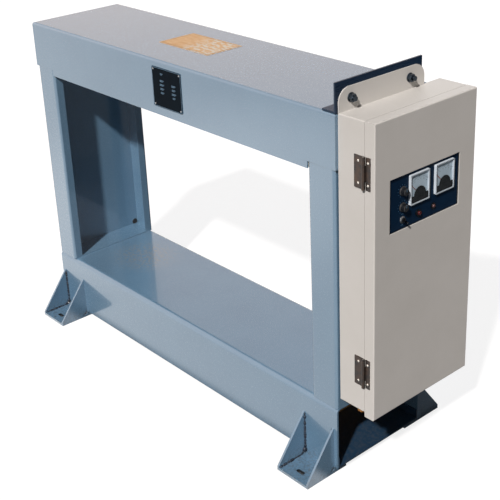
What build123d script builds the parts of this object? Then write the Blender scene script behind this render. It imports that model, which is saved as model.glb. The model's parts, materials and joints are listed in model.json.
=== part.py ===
from build123d import *
import os

# Conveyor metal detector: a detection ring for a belt conveyor, with a control cabinet hung on its
# right-hand end. Sizes are in millimetres. The origin is on the floor at the centre of the four foot
# slots, +X runs along the ring to the cabinet, +Y runs with the belt to the rear, +Z is up.

# Ring
ring_length = 1350.0
ring_depth = 330.0
floor_gap = 20.0
bottom_beam_height = 188.0
aperture_height = 657.0
upright_width = 91.0
upright_lip = 30.0
ring_sheet = 4.0
edge_radius = 8.0
touch_gap = 0.3
drain_hole_radius = 4.0
drain_hole_inset = 14.0
drain_hole_rise = 12.0

# Bottom beam
beam_shell_wall = 5.0
beam_edge_radius = 14.0
base_tray_flange = 30.0
base_tray_sheet = 4.0

# Top beam
cap_height = 142.0
cap_overhang = 5.0
cap_proud = 1.5
cap_drop = 19.0
liner_board = 8.0
liner_recess = 2.0
liner_rail_width = 20.0
liner_rail_height = 12.0

# Coils
coil_width = 16.0
coil_height = 20.0
coil_end_gap = 44.0
coil_corner_cut = 30.0
transmit_coil_side_gap = 7.5
receive_coil_side_gap = 16.0
receive_coil_centre_gap = 28.0
receive_coil_top_gap = 12.0
bearer_width = 40.0
bearer_count = 4
bearer_pitch = 320.0
bearer_side_gap = 2.0

# Feet
foot_centre = 604.0
foot_width = 118.0
foot_reach = 101.0
foot_tuck = 45.0
foot_plate = 8.0
gusset_sheet = 6.0
gusset_rise = 136.0
gusset_toe = 4.0
gusset_relief = 16.0
anchor_slot_length = 28.0
anchor_slot_width = 12.0
anchor_slot_reach = 70.0

# Plates on the ring
plate_width = 131.0
plate_height = 116.0
plate_sheet = 1.5
plate_centre_x = 29.5
plate_drop = 20.0
plate_corner = 2.4
label_length = 225.0
label_width = 129.0
label_sheet = 0.6
label_centre_x = -47.0
label_centre_y = 18.0

# Angle bracket and hanging bolts
bracket_length = 305.0
bracket_rise = 75.0
bracket_reach = 44.0
bracket_sheet = 5.0
bolt_radius = 6.0
bolt_clearance = 0.5
bolt_front_inset = 48.0
bolt_rear_inset = 47.0
bolt_height = 30.0
nut_across_flats = 19.0
nut_thickness = 10.8
bolt_head_thickness = 7.5
bolt_end = 6.7

# Cabinet body
cabinet_front_setback = 8.5
cabinet_body_height = 786.0
cabinet_body_depth = 84.0
cabinet_sheet = 2.5
cabinet_back_sheet = 3.0
cabinet_radius = 3.0
rim_inset = 12.0
rim_rise = 16.0
tab_overreach = 6.5
tab_height = 58.0
tab_radius = 35.0
buffer_width = 60.0
buffer_height = 90.0
buffer_lift = 45.0
buffer_spacing = 200.0

# Cabinet door
door_height = 798.0
door_depth = 31.0
door_seam = 1.0
door_sheet = 2.5
door_gasket_width = 13.0
window_drop = 153.0
window_front_margin = 52.5
window_rear_margin = 58.5

# Hinges
hinge_height = 82.0
hinge_body_leaf = 32.0
hinge_door_leaf = 19.0
hinge_leaf_sheet = 2.0
hinge_barrel_radius = 4.5
hinge_pin_radius = 2.4
hinge_pin_end = 1.5
hinge_knuckle_share = 0.25
hinge_knuckle_gap = 0.4
hinge_running_clearance = 0.08
hinge_drop = 127.0
hinge_rise = 118.0
hinge_leaf_stand = 0.5

# Lock
lock_rise = 380.0
lock_setback = 27.0
lock_flange_radius = 14.0
lock_flange_sheet = 3.0
lock_barrel_flats = 18.0
lock_barrel_length = 20.0
lock_plug_radius = 6.0
lock_clearance = 0.06
lock_cam_width = 14.0
lock_cam_length = 34.0
lock_cam_sheet = 3.0
lock_key_slot = 1.6
lock_key_depth = 2.0
strike_sheet = 3.0
strike_height = 16.0
strike_drop = 18.0
strike_finger = 8.0
strike_foot = 22.0
strike_clearance = 1.0

# Instrument panel
panel_gasket = 3.5
panel_sheet = 3.0
panel_border = 14.0

# Panel meters
meter_width = 70.0
meter_height = 78.0
meter_bay = 74.0
meter_gap = 23.0
meter_end_gap = 21.0
meter_top_gap = 10.0
meter_rim = 3.0
meter_corner = 1.5
meter_base = 2.0
meter_depth = 7.0
meter_barrel_half = 30.0
meter_barrel_length = 24.0
meter_cover_sheet = 2.0
meter_dial_sheet = 0.8
meter_dial_inset = 1.0
pivot_drop = 18.0
pivot_radius = 1.0
pivot_clearance = 0.06
pivot_depth = 4.0
needle_length = 40.0
needle_tail = 8.0
needle_width = 1.6
needle_sheet = 0.6
needle_hub_flats = 8.0
needle_stand = 0.8
shroud_radius = 21.0
shroud_sheet = 1.2
shroud_stand = 2.4
shroud_width = 60.0
shroud_foot = 3.0
needle_rest_angle = 45.0

# Knobs, switch, button and lamp
knob_place_share = 0.696
knob_rise = 6.0
knob_spacing = 42.0
knob_sides = 12
skirt_sides = 24
knob_radius = 10.0
knob_height = 14.0
knob_skirt_radius = 12.0
knob_skirt = 3.0
knob_pointer_width = 2.0
knob_pointer_height = 1.0
knob_panel_gap = 0.5
shaft_radius = 3.0
shaft_clearance = 0.06
shaft_depth = 14.0
potentiometer_width = 22.0
potentiometer_depth = 12.0
bushing_radius = 4.5
control_gap = 30.0
control_margin = 23.0
lamp_offset = 57.0
switch_body_width = 14.0
switch_body_height = 26.0
switch_body_depth = 18.0
switch_bushing_radius = 6.0
switch_bushing_height = 7.0
switch_hole_radius = 4.0
lever_pin_radius = 2.8
lever_pin_length = 5.5
lever_radius = 1.8
lever_length = 20.0
lever_angle = 12.0
button_radius = 6.0
button_bezel_radius = 9.0
button_bezel_height = 4.0
button_stand = 8.0
button_travel = 3.0
button_clearance = 0.1
button_body_depth = 16.0
button_case_half = 6.2
button_stem_radius = 2.0
button_stem_stop = 5.0
lamp_radius = 5.0
lamp_bezel_radius = 8.5
lamp_bezel_height = 2.0
lamp_body_depth = 14.0
lamp_case_half = 5.6
lens_stand = 4.0

# Cabinet interior
component_plate_sheet = 2.0
component_plate_inset = 40.0
standoff_flats = 8.0
standoff_height = 12.0
board_length = 220.0
board_height = 160.0
board_sheet = 1.6
board_stand = 8.0
board_lift = 420.0
spacer_flats = 5.0
transformer_size = 76.0
transformer_stack = 34.0
transformer_window = 14.0
winding_overhang = 8.0
transformer_lift = 110.0
transformer_offset = 80.0
terminal_length = 150.0
terminal_height = 22.0
terminal_depth = 20.0
terminal_pitch = 12.5
terminal_well = 6.0
terminal_lift = 110.0
terminal_offset = 60.0
capacitor_width = 20.0
capacitor_height = 14.0
capacitor_depth = 26.0
relay_width = 28.0
relay_height = 22.0
relay_depth = 16.0
chip_width = 22.0
chip_height = 9.0
chip_depth = 4.0

# Cable glands in the cabinet's floor
gland_thread_radius = 12.0
gland_flats = 27.0
gland_flange = 6.0
gland_cap = 16.0
gland_cap_flats = 22.0
gland_bore = 5.0
gland_spacing = 60.0
gland_inset = 29.5
gland_x_share = 0.6
gland_thread_stand = 5.0
gland_count = 2

# Cuts run past the faces that they open by this much
overrun = 2.0

# Heights and planes that several pieces share
beam_top = floor_gap + bottom_beam_height
aperture_top = beam_top + aperture_height
cap_bottom = aperture_top + cap_drop
ring_top = cap_bottom + cap_height
half_length = ring_length / 2
half_depth = ring_depth / 2
half_aperture = half_length - upright_width
cap_half_length = half_length + cap_overhang
cap_half_depth = half_depth + cap_proud

cabinet_back = cap_half_length
body_front = cabinet_back + cabinet_body_depth
door_back = body_front + door_seam
door_front = door_back + door_depth
cabinet_y0 = -half_depth + cabinet_front_setback
window_y0 = cabinet_y0 + window_front_margin
meter_left_y = window_y0 + meter_bay + meter_width / 2
meter_right_y = meter_left_y + meter_width + meter_gap
window_y1 = meter_right_y + meter_width / 2 + meter_end_gap
cabinet_y1 = window_y1 + window_rear_margin
bracket_y1 = -half_depth + bracket_length
cabinet_mid = (cabinet_y0 + cabinet_y1) / 2
cabinet_top = ring_top
body_bottom = cabinet_top - cabinet_body_height
door_bottom = cabinet_top - door_height
door_skin_back = door_front - door_sheet
rim_front = body_front + rim_rise

window_top = cabinet_top - window_drop
meter_z = window_top - meter_top_gap - meter_height / 2
control_z = meter_z - meter_height / 2 - control_gap
window_bottom = control_z - control_margin
knob_y = window_y0 + meter_bay * knob_place_share
switch_y = knob_y
button_y = meter_left_y
lamp_y = meter_left_y + lamp_offset
panel_front = door_skin_back - panel_gasket
panel_back = panel_front - panel_sheet

hinge_axis_x = body_front + door_seam / 2
hinge_axis_y = cabinet_y0 - hinge_barrel_radius - hinge_leaf_stand
hinge_upper = cabinet_top - hinge_drop
hinge_lower = body_bottom + hinge_rise

lock_x = body_front - lock_setback
lock_height = body_bottom + lock_rise
side_inner = cabinet_y1 - cabinet_sheet
lock_inner = side_inner - lock_barrel_length


def block(x0, x1, y0, y1, z0, z1):
    """A box between two corners."""
    size = Box(x1 - x0, y1 - y0, z1 - z0)
    return Pos((x0 + x1) / 2, (y0 + y1) / 2, (z0 + z1) / 2) * size


def rod_x(x0, x1, y, z, radius):
    """A cylinder along X."""
    return Plane.YZ.offset(x0) * Pos(y, z, 0) * Cylinder(
        radius, x1 - x0, align=(Align.CENTER, Align.CENTER, Align.MIN)
    )


def rod_y(y0, y1, x, z, radius):
    """A cylinder along Y."""
    upright = Cylinder(radius, y1 - y0, align=(Align.CENTER, Align.CENTER, Align.MAX))
    return Pos(x, y0, z) * Rot(90, 0, 0) * upright


def rod_z(z0, z1, x, y, radius):
    """A cylinder along Z."""
    return Pos(x, y, z0) * Cylinder(
        radius, z1 - z0, align=(Align.CENTER, Align.CENTER, Align.MIN)
    )


def hexagon_x(x0, x1, y, z, across_flats):
    """A hexagonal prism along X, with two flats level."""
    face = RegularPolygon(across_flats / 2, 6, major_radius=False, rotation=30)
    return extrude(Plane.YZ.offset(x0) * Pos(y, z) * face, x1 - x0)


def save(node, pieces):
    """Write one node: a single piece, or separate pieces that share the node."""
    group = pieces if isinstance(pieces, list) else [pieces]
    solids = []
    for piece in group:
        solids.extend(piece.solids())
    shape = solids[0] if len(solids) == 1 else Compound(children=solids)
    export_step(shape, "parts/" + node + ".step")


def bottom_beam_shell():
    """The inverted trough under the belt, rounded along its top edges and open at both ends."""
    outer = block(-half_length, half_length, -half_depth, half_depth, floor_gap, beam_top)
    top_edges = outer.edges().filter_by(Axis.X).group_by(Axis.Z)[-1]
    outer = fillet(top_edges, beam_edge_radius)
    inner = block(
        -half_length - overrun,
        half_length + overrun,
        -half_depth + beam_shell_wall,
        half_depth - beam_shell_wall,
        floor_gap - overrun,
        beam_top - beam_shell_wall,
    )
    inner_edges = inner.edges().filter_by(Axis.X).group_by(Axis.Z)[-1]
    inner = fillet(inner_edges, beam_edge_radius - beam_shell_wall)
    return outer - inner


def bottom_beam_base():
    """The tray that closes the trough's underside, its flanges inside the shell's walls."""
    inner = half_depth - beam_shell_wall
    tray = block(
        -half_length, half_length, -inner, inner, floor_gap, floor_gap + base_tray_flange
    )
    hollow = block(
        -half_length - overrun,
        half_length + overrun,
        -inner + base_tray_sheet,
        inner - base_tray_sheet,
        floor_gap + base_tray_sheet,
        floor_gap + base_tray_flange + overrun,
    )
    return tray - hollow


def upright(side):
    """A lipped channel that stands on the bottom beam and opens towards the belt."""
    web = side * half_length
    mouth = side * half_aperture
    x0, x1 = min(web, mouth), max(web, mouth)
    outer = block(x0, x1, -half_depth, half_depth, beam_top, cap_bottom)
    outer = fillet(outer.edges().filter_by(Axis.Z), edge_radius)
    inner = block(
        x0 + ring_sheet,
        x1 - ring_sheet,
        -half_depth + ring_sheet,
        half_depth - ring_sheet,
        beam_top + ring_sheet,
        cap_bottom - ring_sheet,
    )
    mouth_cut = block(
        min(mouth - side * overrun, mouth + side * ring_sheet * 2),
        max(mouth - side * overrun, mouth + side * ring_sheet * 2),
        -half_depth + upright_lip,
        half_depth - upright_lip,
        beam_top + ring_sheet,
        cap_bottom - ring_sheet,
    )
    channel = outer - inner - mouth_cut
    if side < 0:
        hole_y = half_depth - drain_hole_inset
        hole_z = beam_top + drain_hole_rise
        channel -= rod_x(x0 - overrun, x0 + ring_sheet + overrun, hole_y, hole_z, drain_hole_radius)
    return channel


def top_beam_shell():
    """The folded cover over the transmit coil, with a floor over each upright."""
    outer = block(
        -cap_half_length,
        cap_half_length,
        -cap_half_depth,
        cap_half_depth,
        aperture_top,
        ring_top,
    )
    shell = fillet(outer.edges().group_by(Axis.Z)[-1], edge_radius)
    inner_depth = cap_half_depth - ring_sheet
    inner = block(
        -cap_half_length + ring_sheet,
        cap_half_length - ring_sheet,
        -inner_depth,
        inner_depth,
        cap_bottom + ring_sheet,
        ring_top - ring_sheet,
    )
    mouth = half_aperture - touch_gap
    shell -= inner
    shell -= block(
        -mouth, mouth, -inner_depth, inner_depth, aperture_top - overrun, ring_top - ring_sheet
    )
    for side in (-1, 1):
        near = side * mouth
        far = side * (cap_half_length + overrun)
        shell -= block(
            min(near, far),
            max(near, far),
            -cap_half_depth - overrun,
            cap_half_depth + overrun,
            aperture_top - overrun,
            cap_bottom,
        )
    return shell


def top_beam_liner():
    """The board that closes the top beam over the belt, with the two battens that hold it."""
    inner = cap_half_depth - ring_sheet
    bottom = aperture_top + liner_recess
    top = bottom + liner_board
    half = half_aperture - touch_gap
    liner = block(-half, half, -inner, inner, bottom, top)
    for side in (-1, 1):
        near = side * inner
        far = side * (inner - liner_rail_width)
        liner += block(-half, half, min(near, far), max(near, far), top, top + liner_rail_height)
    return liner


def cornered_rectangle(length, depth, cut):
    """A rectangle with its corners cut off."""
    plain = Rectangle(length, depth)
    return chamfer(plain.vertices(), cut)


def coil(y0, y1, bottom):
    """A wound and taped loop of rectangular section, bent twice at each corner."""
    length = (half_aperture - coil_end_gap) * 2
    depth = y1 - y0
    inner_cut = coil_corner_cut - coil_width * (2 - 2 ** (1 / 2))
    outer = cornered_rectangle(length, depth, coil_corner_cut)
    inner = cornered_rectangle(length - coil_width * 2, depth - coil_width * 2, inner_cut)
    return Pos(0, (y0 + y1) / 2, bottom) * extrude(outer - inner, coil_height)


def transmit_coil():
    """The loop that lies on the liner board in the top beam."""
    bottom = aperture_top + liner_recess + liner_board
    reach = cap_half_depth - ring_sheet - liner_rail_width - transmit_coil_side_gap
    return coil(-reach, reach, bottom)


def receive_coil_bottom():
    """The height at which the receive coils lie, close under the bottom beam's top."""
    return beam_top - beam_shell_wall - receive_coil_top_gap - coil_height


def receive_coils():
    """Two balanced loops side by side under the belt."""
    bottom = receive_coil_bottom()
    near = receive_coil_centre_gap / 2
    far = half_depth - beam_shell_wall - receive_coil_side_gap
    return [coil(-far, -near, bottom), coil(near, far, bottom)]


def coil_bearers():
    """Blocks that stand on the base tray and carry the receive coils."""
    inner = half_depth - beam_shell_wall - base_tray_sheet - bearer_side_gap
    bearers = []
    for index in range(bearer_count):
        centre = (index - (bearer_count - 1) / 2) * bearer_pitch
        bearers.append(
            block(
                centre - bearer_width / 2,
                centre + bearer_width / 2,
                -inner,
                inner,
                floor_gap + base_tray_sheet,
                receive_coil_bottom(),
            )
        )
    return bearers


def foot(side_x, side_y):
    """A welded foot: slotted base plate, packer under the beam, and two gussets."""
    centre = side_x * foot_centre
    left = centre - foot_width / 2
    right = centre + foot_width / 2
    face = side_y * half_depth
    toe = side_y * (half_depth + foot_reach)
    heel = side_y * (half_depth - foot_tuck)
    plate = block(left, right, min(toe, heel), max(toe, heel), 0, foot_plate)
    packer = block(left, right, min(face, heel), max(face, heel), foot_plate, floor_gap)
    welded = plate + packer
    for inner_edge in (left, right - gusset_sheet):
        outline = Polyline(
            (face, foot_plate + gusset_relief),
            (face, foot_plate + gusset_rise),
            (toe, foot_plate + gusset_toe),
            (toe, foot_plate),
            (face + side_y * gusset_relief, foot_plate),
            close=True,
        )
        gusset = extrude(Plane.YZ * make_face(outline), gusset_sheet)
        welded += Pos(inner_edge, 0, 0) * gusset
    slot = SlotOverall(anchor_slot_length, anchor_slot_width)
    hole = extrude(slot, foot_plate + overrun * 2)
    slot_y = side_y * (half_depth + anchor_slot_reach)
    return welded - Pos(centre, slot_y, -overrun) * hole


def blank_plate():
    """The black plate on the front of the top beam."""
    top = ring_top - plate_drop
    face = -cap_half_depth
    plate = block(
        plate_centre_x - plate_width / 2,
        plate_centre_x + plate_width / 2,
        face - plate_sheet,
        face,
        top - plate_height,
        top,
    )
    return chamfer(plate.edges().filter_by(Axis.Y), plate_corner)


def top_label():
    """The thin gold label on the top of the beam."""
    return block(
        label_centre_x - label_length / 2,
        label_centre_x + label_length / 2,
        label_centre_y - label_width / 2,
        label_centre_y + label_width / 2,
        ring_top,
        ring_top + label_sheet,
    )


def bolt_places():
    """The two hanging bolts' places across the bracket."""
    z = ring_top + bolt_height
    return [(-half_depth + bolt_front_inset, z), (bracket_y1 - bolt_rear_inset, z)]


def angle_bracket():
    """The angle on the end of the top beam that the cabinet's tab is bolted to."""
    leg_back = cabinet_back - bracket_sheet
    y0 = -half_depth
    upright_leg = block(
        leg_back, cabinet_back, y0, bracket_y1, ring_top, ring_top + bracket_rise
    )
    level_leg = block(
        cabinet_back - bracket_reach,
        leg_back,
        y0,
        bracket_y1,
        ring_top,
        ring_top + bracket_sheet,
    )
    angle = upright_leg + level_leg
    for y, z in bolt_places():
        angle -= rod_x(
            leg_back - overrun, cabinet_back + overrun, y, z, bolt_radius + bolt_clearance
        )
    return angle


def bracket_bolts():
    """Hexagon bolts through the angle and the tab, heads on the belt side."""
    leg_back = cabinet_back - bracket_sheet
    stack = cabinet_back + cabinet_back_sheet + nut_thickness
    bolts = []
    for y, z in bolt_places():
        head = hexagon_x(leg_back - bolt_head_thickness, leg_back, y, z, nut_across_flats)
        shank = rod_x(leg_back, stack + bolt_end, y, z, bolt_radius)
        bolts.append(head + shank)
    return bolts


def bracket_nuts():
    """Nuts on the tab's outer face."""
    face = cabinet_back + cabinet_back_sheet
    pieces = []
    for y, z in bolt_places():
        nut = hexagon_x(face, face + nut_thickness, y, z, nut_across_flats)
        bore = rod_x(face - overrun, face + nut_thickness + overrun, y, z, bolt_radius)
        pieces.append(nut - bore)
    return pieces


def gland_places():
    """The cable glands' places in the cabinet's floor."""
    x = cabinet_back + cabinet_body_depth * gland_x_share
    first = cabinet_y0 + gland_inset
    return [(x, first + index * gland_spacing) for index in range(gland_count)]


def cabinet_body():
    """The folded cabinet with its mounting tab, and a collar round its opening."""
    outer = block(cabinet_back, body_front, cabinet_y0, cabinet_y1, body_bottom, cabinet_top)
    long_edges = outer.edges().filter_by(Axis.X)
    outer = fillet(long_edges, cabinet_radius)
    inner = block(
        cabinet_back + cabinet_back_sheet,
        body_front - cabinet_sheet,
        cabinet_y0 + cabinet_sheet,
        cabinet_y1 - cabinet_sheet,
        body_bottom + cabinet_sheet,
        cabinet_top - cabinet_sheet,
    )
    collar = block(
        body_front - cabinet_sheet,
        rim_front,
        cabinet_y0 + rim_inset,
        cabinet_y1 - rim_inset,
        body_bottom + rim_inset,
        cabinet_top - rim_inset,
    )
    mouth = block(
        body_front - cabinet_sheet - overrun,
        rim_front + overrun,
        cabinet_y0 + rim_inset + cabinet_sheet,
        cabinet_y1 - rim_inset - cabinet_sheet,
        body_bottom + rim_inset + cabinet_sheet,
        cabinet_top - rim_inset - cabinet_sheet,
    )
    tab = block(
        cabinet_back,
        cabinet_back + cabinet_back_sheet,
        cabinet_y0,
        bracket_y1 + tab_overreach,
        cabinet_top - tab_radius,
        cabinet_top + tab_height,
    )
    tab_corners = tab.edges().filter_by(Axis.X).group_by(Axis.Z)[-1]
    tab = fillet(tab_corners, tab_radius)
    body = outer - inner + collar - mouth + tab
    for y, z in bolt_places():
        body -= rod_x(
            cabinet_back - overrun,
            cabinet_back + cabinet_back_sheet + overrun,
            y,
            z,
            bolt_radius + bolt_clearance,
        )
    for x, y in gland_places():
        body -= rod_z(
            body_bottom - overrun,
            body_bottom + cabinet_sheet + overrun,
            x,
            y,
            gland_thread_radius,
        )
    body -= lock_square(side_inner - overrun, cabinet_y1 + overrun)
    return body


def buffer_pads():
    """Rubber pads that keep the cabinet off the upright."""
    pads = []
    bottom = body_bottom + buffer_lift
    for side in (-1, 1):
        centre = side * buffer_spacing / 2
        pad = block(
            half_length,
            cabinet_back,
            centre - buffer_width / 2,
            centre + buffer_width / 2,
            bottom,
            bottom + buffer_height,
        )
        pads.append(pad)
    return pads


def cable_glands():
    """Glands through the cabinet's floor: hexagonal flange, cap nut and thread, with a bore."""
    glands = []
    hexagon = RegularPolygon(gland_flats / 2, 6, major_radius=False)
    cap_hexagon = RegularPolygon(gland_cap_flats / 2, 6, major_radius=False)
    for x, y in gland_places():
        flange_bottom = body_bottom - gland_flange
        cap_end = flange_bottom - gland_cap
        thread_top = body_bottom + cabinet_sheet + gland_thread_stand
        flange = extrude(Pos(x, y, flange_bottom) * hexagon, gland_flange)
        cap = extrude(Pos(x, y, cap_end) * cap_hexagon, gland_cap)
        thread = rod_z(body_bottom, thread_top, x, y, gland_thread_radius)
        bore = rod_z(cap_end - overrun, thread_top + overrun, x, y, gland_bore)
        glands.append(flange + cap + thread - bore)
    return glands


def door_pan():
    """The door: a folded pan with the instrument window cut in its face."""
    outer = block(door_back, door_front, cabinet_y0, cabinet_y1, door_bottom, cabinet_top)
    outer = fillet(outer.edges().group_by(Axis.X)[-1], cabinet_radius)
    inner = block(
        door_back - overrun,
        door_skin_back,
        cabinet_y0 + door_sheet,
        cabinet_y1 - door_sheet,
        door_bottom + door_sheet,
        cabinet_top - door_sheet,
    )
    window = block(
        door_skin_back - overrun,
        door_front + overrun,
        window_y0,
        window_y1,
        window_bottom,
        window_top,
    )
    return outer - inner - window


def door_gasket():
    """The foam frame inside the door that the cabinet's collar meets."""
    centre = rim_inset + cabinet_sheet / 2
    half = door_gasket_width / 2
    x0 = rim_front + touch_gap
    outer = block(
        x0,
        door_skin_back,
        cabinet_y0 + centre - half,
        cabinet_y1 - centre + half,
        body_bottom + centre - half,
        cabinet_top - centre + half,
    )
    hollow = block(
        x0 - overrun,
        door_skin_back + overrun,
        cabinet_y0 + centre + half,
        cabinet_y1 - centre - half,
        body_bottom + centre + half,
        cabinet_top - centre - half,
    )
    return outer - hollow


def hinge_barrel(bottom, top):
    """One knuckle of a hinge, bored for its pin."""
    knuckle = rod_z(bottom, top, hinge_axis_x, hinge_axis_y, hinge_barrel_radius)
    bore = rod_z(
        bottom - overrun,
        top + overrun,
        hinge_axis_x,
        hinge_axis_y,
        hinge_pin_radius + hinge_running_clearance,
    )
    return knuckle, bore


def hinge_leaf(centre, on_door):
    """A hinge leaf with its knuckles: two outer ones on the body, one middle one on the door."""
    low = centre - hinge_height / 2
    high = centre + hinge_height / 2
    knuckle = hinge_height * hinge_knuckle_share
    leaf_y = cabinet_y0
    wrap = hinge_barrel_radius + hinge_leaf_stand
    if on_door:
        start = hinge_axis_x + wrap
        leaf = block(
            start,
            start + hinge_door_leaf - wrap,
            leaf_y - hinge_leaf_sheet,
            leaf_y,
            low,
            high,
        )
        spans = [(low + knuckle + hinge_knuckle_gap, high - knuckle - hinge_knuckle_gap)]
    else:
        end = hinge_axis_x - wrap
        leaf = block(
            end - hinge_body_leaf + wrap,
            end,
            leaf_y - hinge_leaf_sheet,
            leaf_y,
            low,
            high,
        )
        spans = [(low, low + knuckle), (high - knuckle, high)]
    toward = 1 if on_door else -1
    piece = leaf
    for bottom, top in spans:
        barrel, bore = hinge_barrel(bottom, top)
        reach_a = hinge_axis_x
        reach_b = hinge_axis_x + toward * (wrap + hinge_leaf_sheet)
        bridge = block(
            min(reach_a, reach_b),
            max(reach_a, reach_b),
            leaf_y - hinge_leaf_sheet - hinge_leaf_stand,
            leaf_y - hinge_leaf_stand,
            bottom,
            top,
        )
        piece = piece + bridge + barrel - bore
    return piece


def hinge_pins():
    """The two hinge pins, which stand a little past the knuckles at both ends."""
    pins = []
    for centre in (hinge_upper, hinge_lower):
        low = centre - hinge_height / 2 - hinge_pin_end
        high = centre + hinge_height / 2 + hinge_pin_end
        pins.append(rod_z(low, high, hinge_axis_x, hinge_axis_y, hinge_pin_radius))
    return pins


def lock_square(y0, y1):
    """The square shape of the lock's barrel and of its hole."""
    half = lock_barrel_flats / 2
    return block(lock_x - half, lock_x + half, y0, y1, lock_height - half, lock_height + half)


def lock_barrel():
    """The lock's housing in the cabinet's rear side, bored for the plug."""
    flange = rod_y(
        cabinet_y1, cabinet_y1 + lock_flange_sheet, lock_x, lock_height, lock_flange_radius
    )
    barrel = lock_square(lock_inner, cabinet_y1)
    bore = rod_y(
        lock_inner - overrun,
        cabinet_y1 + lock_flange_sheet + overrun,
        lock_x,
        lock_height,
        lock_plug_radius + lock_clearance,
    )
    return flange + barrel - bore


def lock_plug():
    """The keyed plug with its cam. The cam points at the door when the lock is open."""
    outer_face = cabinet_y1 + lock_flange_sheet
    cam_y1 = lock_inner - touch_gap
    cam_y0 = cam_y1 - lock_cam_sheet
    plug = rod_y(cam_y0, outer_face, lock_x, lock_height, lock_plug_radius)
    cam = block(
        lock_x - lock_cam_width / 2,
        lock_x + lock_cam_length,
        cam_y0,
        cam_y1,
        lock_height - lock_cam_width / 2,
        lock_height + lock_cam_width / 2,
    )
    cam = chamfer(cam.edges().filter_by(Axis.Y), lock_cam_sheet)
    key_slot = block(
        lock_x - lock_plug_radius * 2 / 3,
        lock_x + lock_plug_radius * 2 / 3,
        outer_face - lock_key_depth,
        outer_face + overrun,
        lock_height - lock_key_slot / 2,
        lock_height + lock_key_slot / 2,
    )
    return plug + cam - key_slot


def lock_strike():
    """The bent strap inside the door that the turned cam stands in front of."""
    cam_y1 = lock_inner - touch_gap
    cam_y0 = cam_y1 - lock_cam_sheet
    strap_y1 = cam_y0 - strike_clearance
    strap_y0 = strap_y1 - strike_sheet
    finger_x1 = lock_x - lock_cam_width / 2 - strike_clearance
    top = lock_height - strike_drop
    strap = block(
        finger_x1 - strike_sheet, door_skin_back, strap_y0, strap_y1, top - strike_height, top
    )
    finger = block(
        finger_x1 - strike_sheet,
        finger_x1,
        strap_y0,
        strap_y1 + strike_finger,
        top - strike_height,
        top,
    )
    foot_pad = block(
        door_skin_back - strike_sheet,
        door_skin_back,
        strap_y0 - strike_foot,
        strap_y1,
        top - strike_height,
        top,
    )
    return strap + finger + foot_pad


def instrument_gasket():
    """The black frame round the window, between the door's face and the panel."""
    frame = block(
        panel_front,
        door_skin_back,
        window_y0 - panel_border,
        window_y1 + panel_border,
        window_bottom - panel_border,
        window_top + panel_border,
    )
    window = block(
        panel_front - overrun,
        door_skin_back + overrun,
        window_y0,
        window_y1,
        window_bottom,
        window_top,
    )
    return frame - window


def meter_places():
    """Centres of the two panel meters."""
    return [(meter_left_y, meter_z), (meter_right_y, meter_z)]


def knob_places():
    """Centres of the two adjusting knobs."""
    z = meter_z + knob_rise
    return [(knob_y, z), (knob_y, z - knob_spacing)]


def square_x(x0, x1, y, z, half):
    """A square bar along X."""
    return block(x0, x1, y - half, y + half, z - half, z + half)


def instrument_panel():
    """The panel behind the window, bored for the instruments."""
    panel = block(
        panel_back,
        panel_front,
        window_y0 - panel_border,
        window_y1 + panel_border,
        window_bottom - panel_border,
        window_top + panel_border,
    )
    back = panel_back - overrun
    front = panel_front + overrun
    for y, z in meter_places():
        panel -= square_x(back, front, y, z, meter_barrel_half)
    for y, z in knob_places():
        panel -= rod_x(back, front, y, z, bushing_radius)
    panel -= rod_x(back, front, switch_y, control_z, switch_bushing_radius)
    panel -= square_x(back, front, button_y, control_z, button_case_half)
    panel -= square_x(back, front, lamp_y, control_z, lamp_case_half)
    return panel


def meter_case(y, z):
    """A meter housing with a raised rim, its barrel and the bearing for the needle."""
    half_y = meter_width / 2
    half_z = meter_height / 2
    front = panel_front + meter_depth
    rim = block(panel_front, front, y - half_y, y + half_y, z - half_z, z + half_z)
    rim = chamfer(rim.edges().filter_by(Axis.X), meter_corner)
    well = block(
        panel_front + meter_base,
        front + overrun,
        y - half_y + meter_rim,
        y + half_y - meter_rim,
        z - half_z + meter_rim,
        z + half_z - meter_rim,
    )
    barrel = square_x(panel_back - meter_barrel_length, panel_front, y, z, meter_barrel_half)
    bearing = rod_x(
        panel_front - pivot_depth,
        panel_front + overrun * 2,
        y,
        z - pivot_drop,
        pivot_radius + pivot_clearance,
    )
    return rim - well + barrel - bearing


def meter_dial(y, z):
    """The white scale plate in a meter."""
    half_y = meter_width / 2 - meter_rim - meter_dial_inset
    half_z = meter_height / 2 - meter_rim - meter_dial_inset
    base = panel_front + meter_base
    face = base + meter_dial_sheet
    plate = block(base, face, y - half_y, y + half_y, z - half_z, z + half_z)
    hole = square_x(base - overrun, face + overrun, y, z - pivot_drop, pivot_radius * 2)
    return plate - hole


def meter_shroud(y, z):
    """The dark hump over a meter's movement, standing on a foot along its lower edge."""
    dial_face = panel_front + meter_base + meter_dial_sheet
    half = shroud_width / 2
    bottom = z - meter_height / 2 + meter_rim + meter_dial_inset
    x0 = dial_face + shroud_stand
    x1 = x0 + shroud_sheet
    pivot_z = z - pivot_drop
    band = block(x0, x1, y - half, y + half, bottom, pivot_z)
    hump = rod_x(x0, x1, y, pivot_z, shroud_radius)
    upper_half = block(x0, x1, y - half, y + half, pivot_z, pivot_z + shroud_radius)
    stand = block(dial_face, x1, y - half, y + half, bottom, bottom + shroud_foot)
    return band + (hump & upper_half) + stand


def meter_cover(y, z):
    """The clear window that closes a meter's rim."""
    half_y = meter_width / 2
    half_z = meter_height / 2
    front = panel_front + meter_depth
    back = front + meter_cover_sheet
    cover = block(front, back, y - half_y, y + half_y, z - half_z, z + half_z)
    return chamfer(cover.edges().filter_by(Axis.X), meter_corner)


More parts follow.
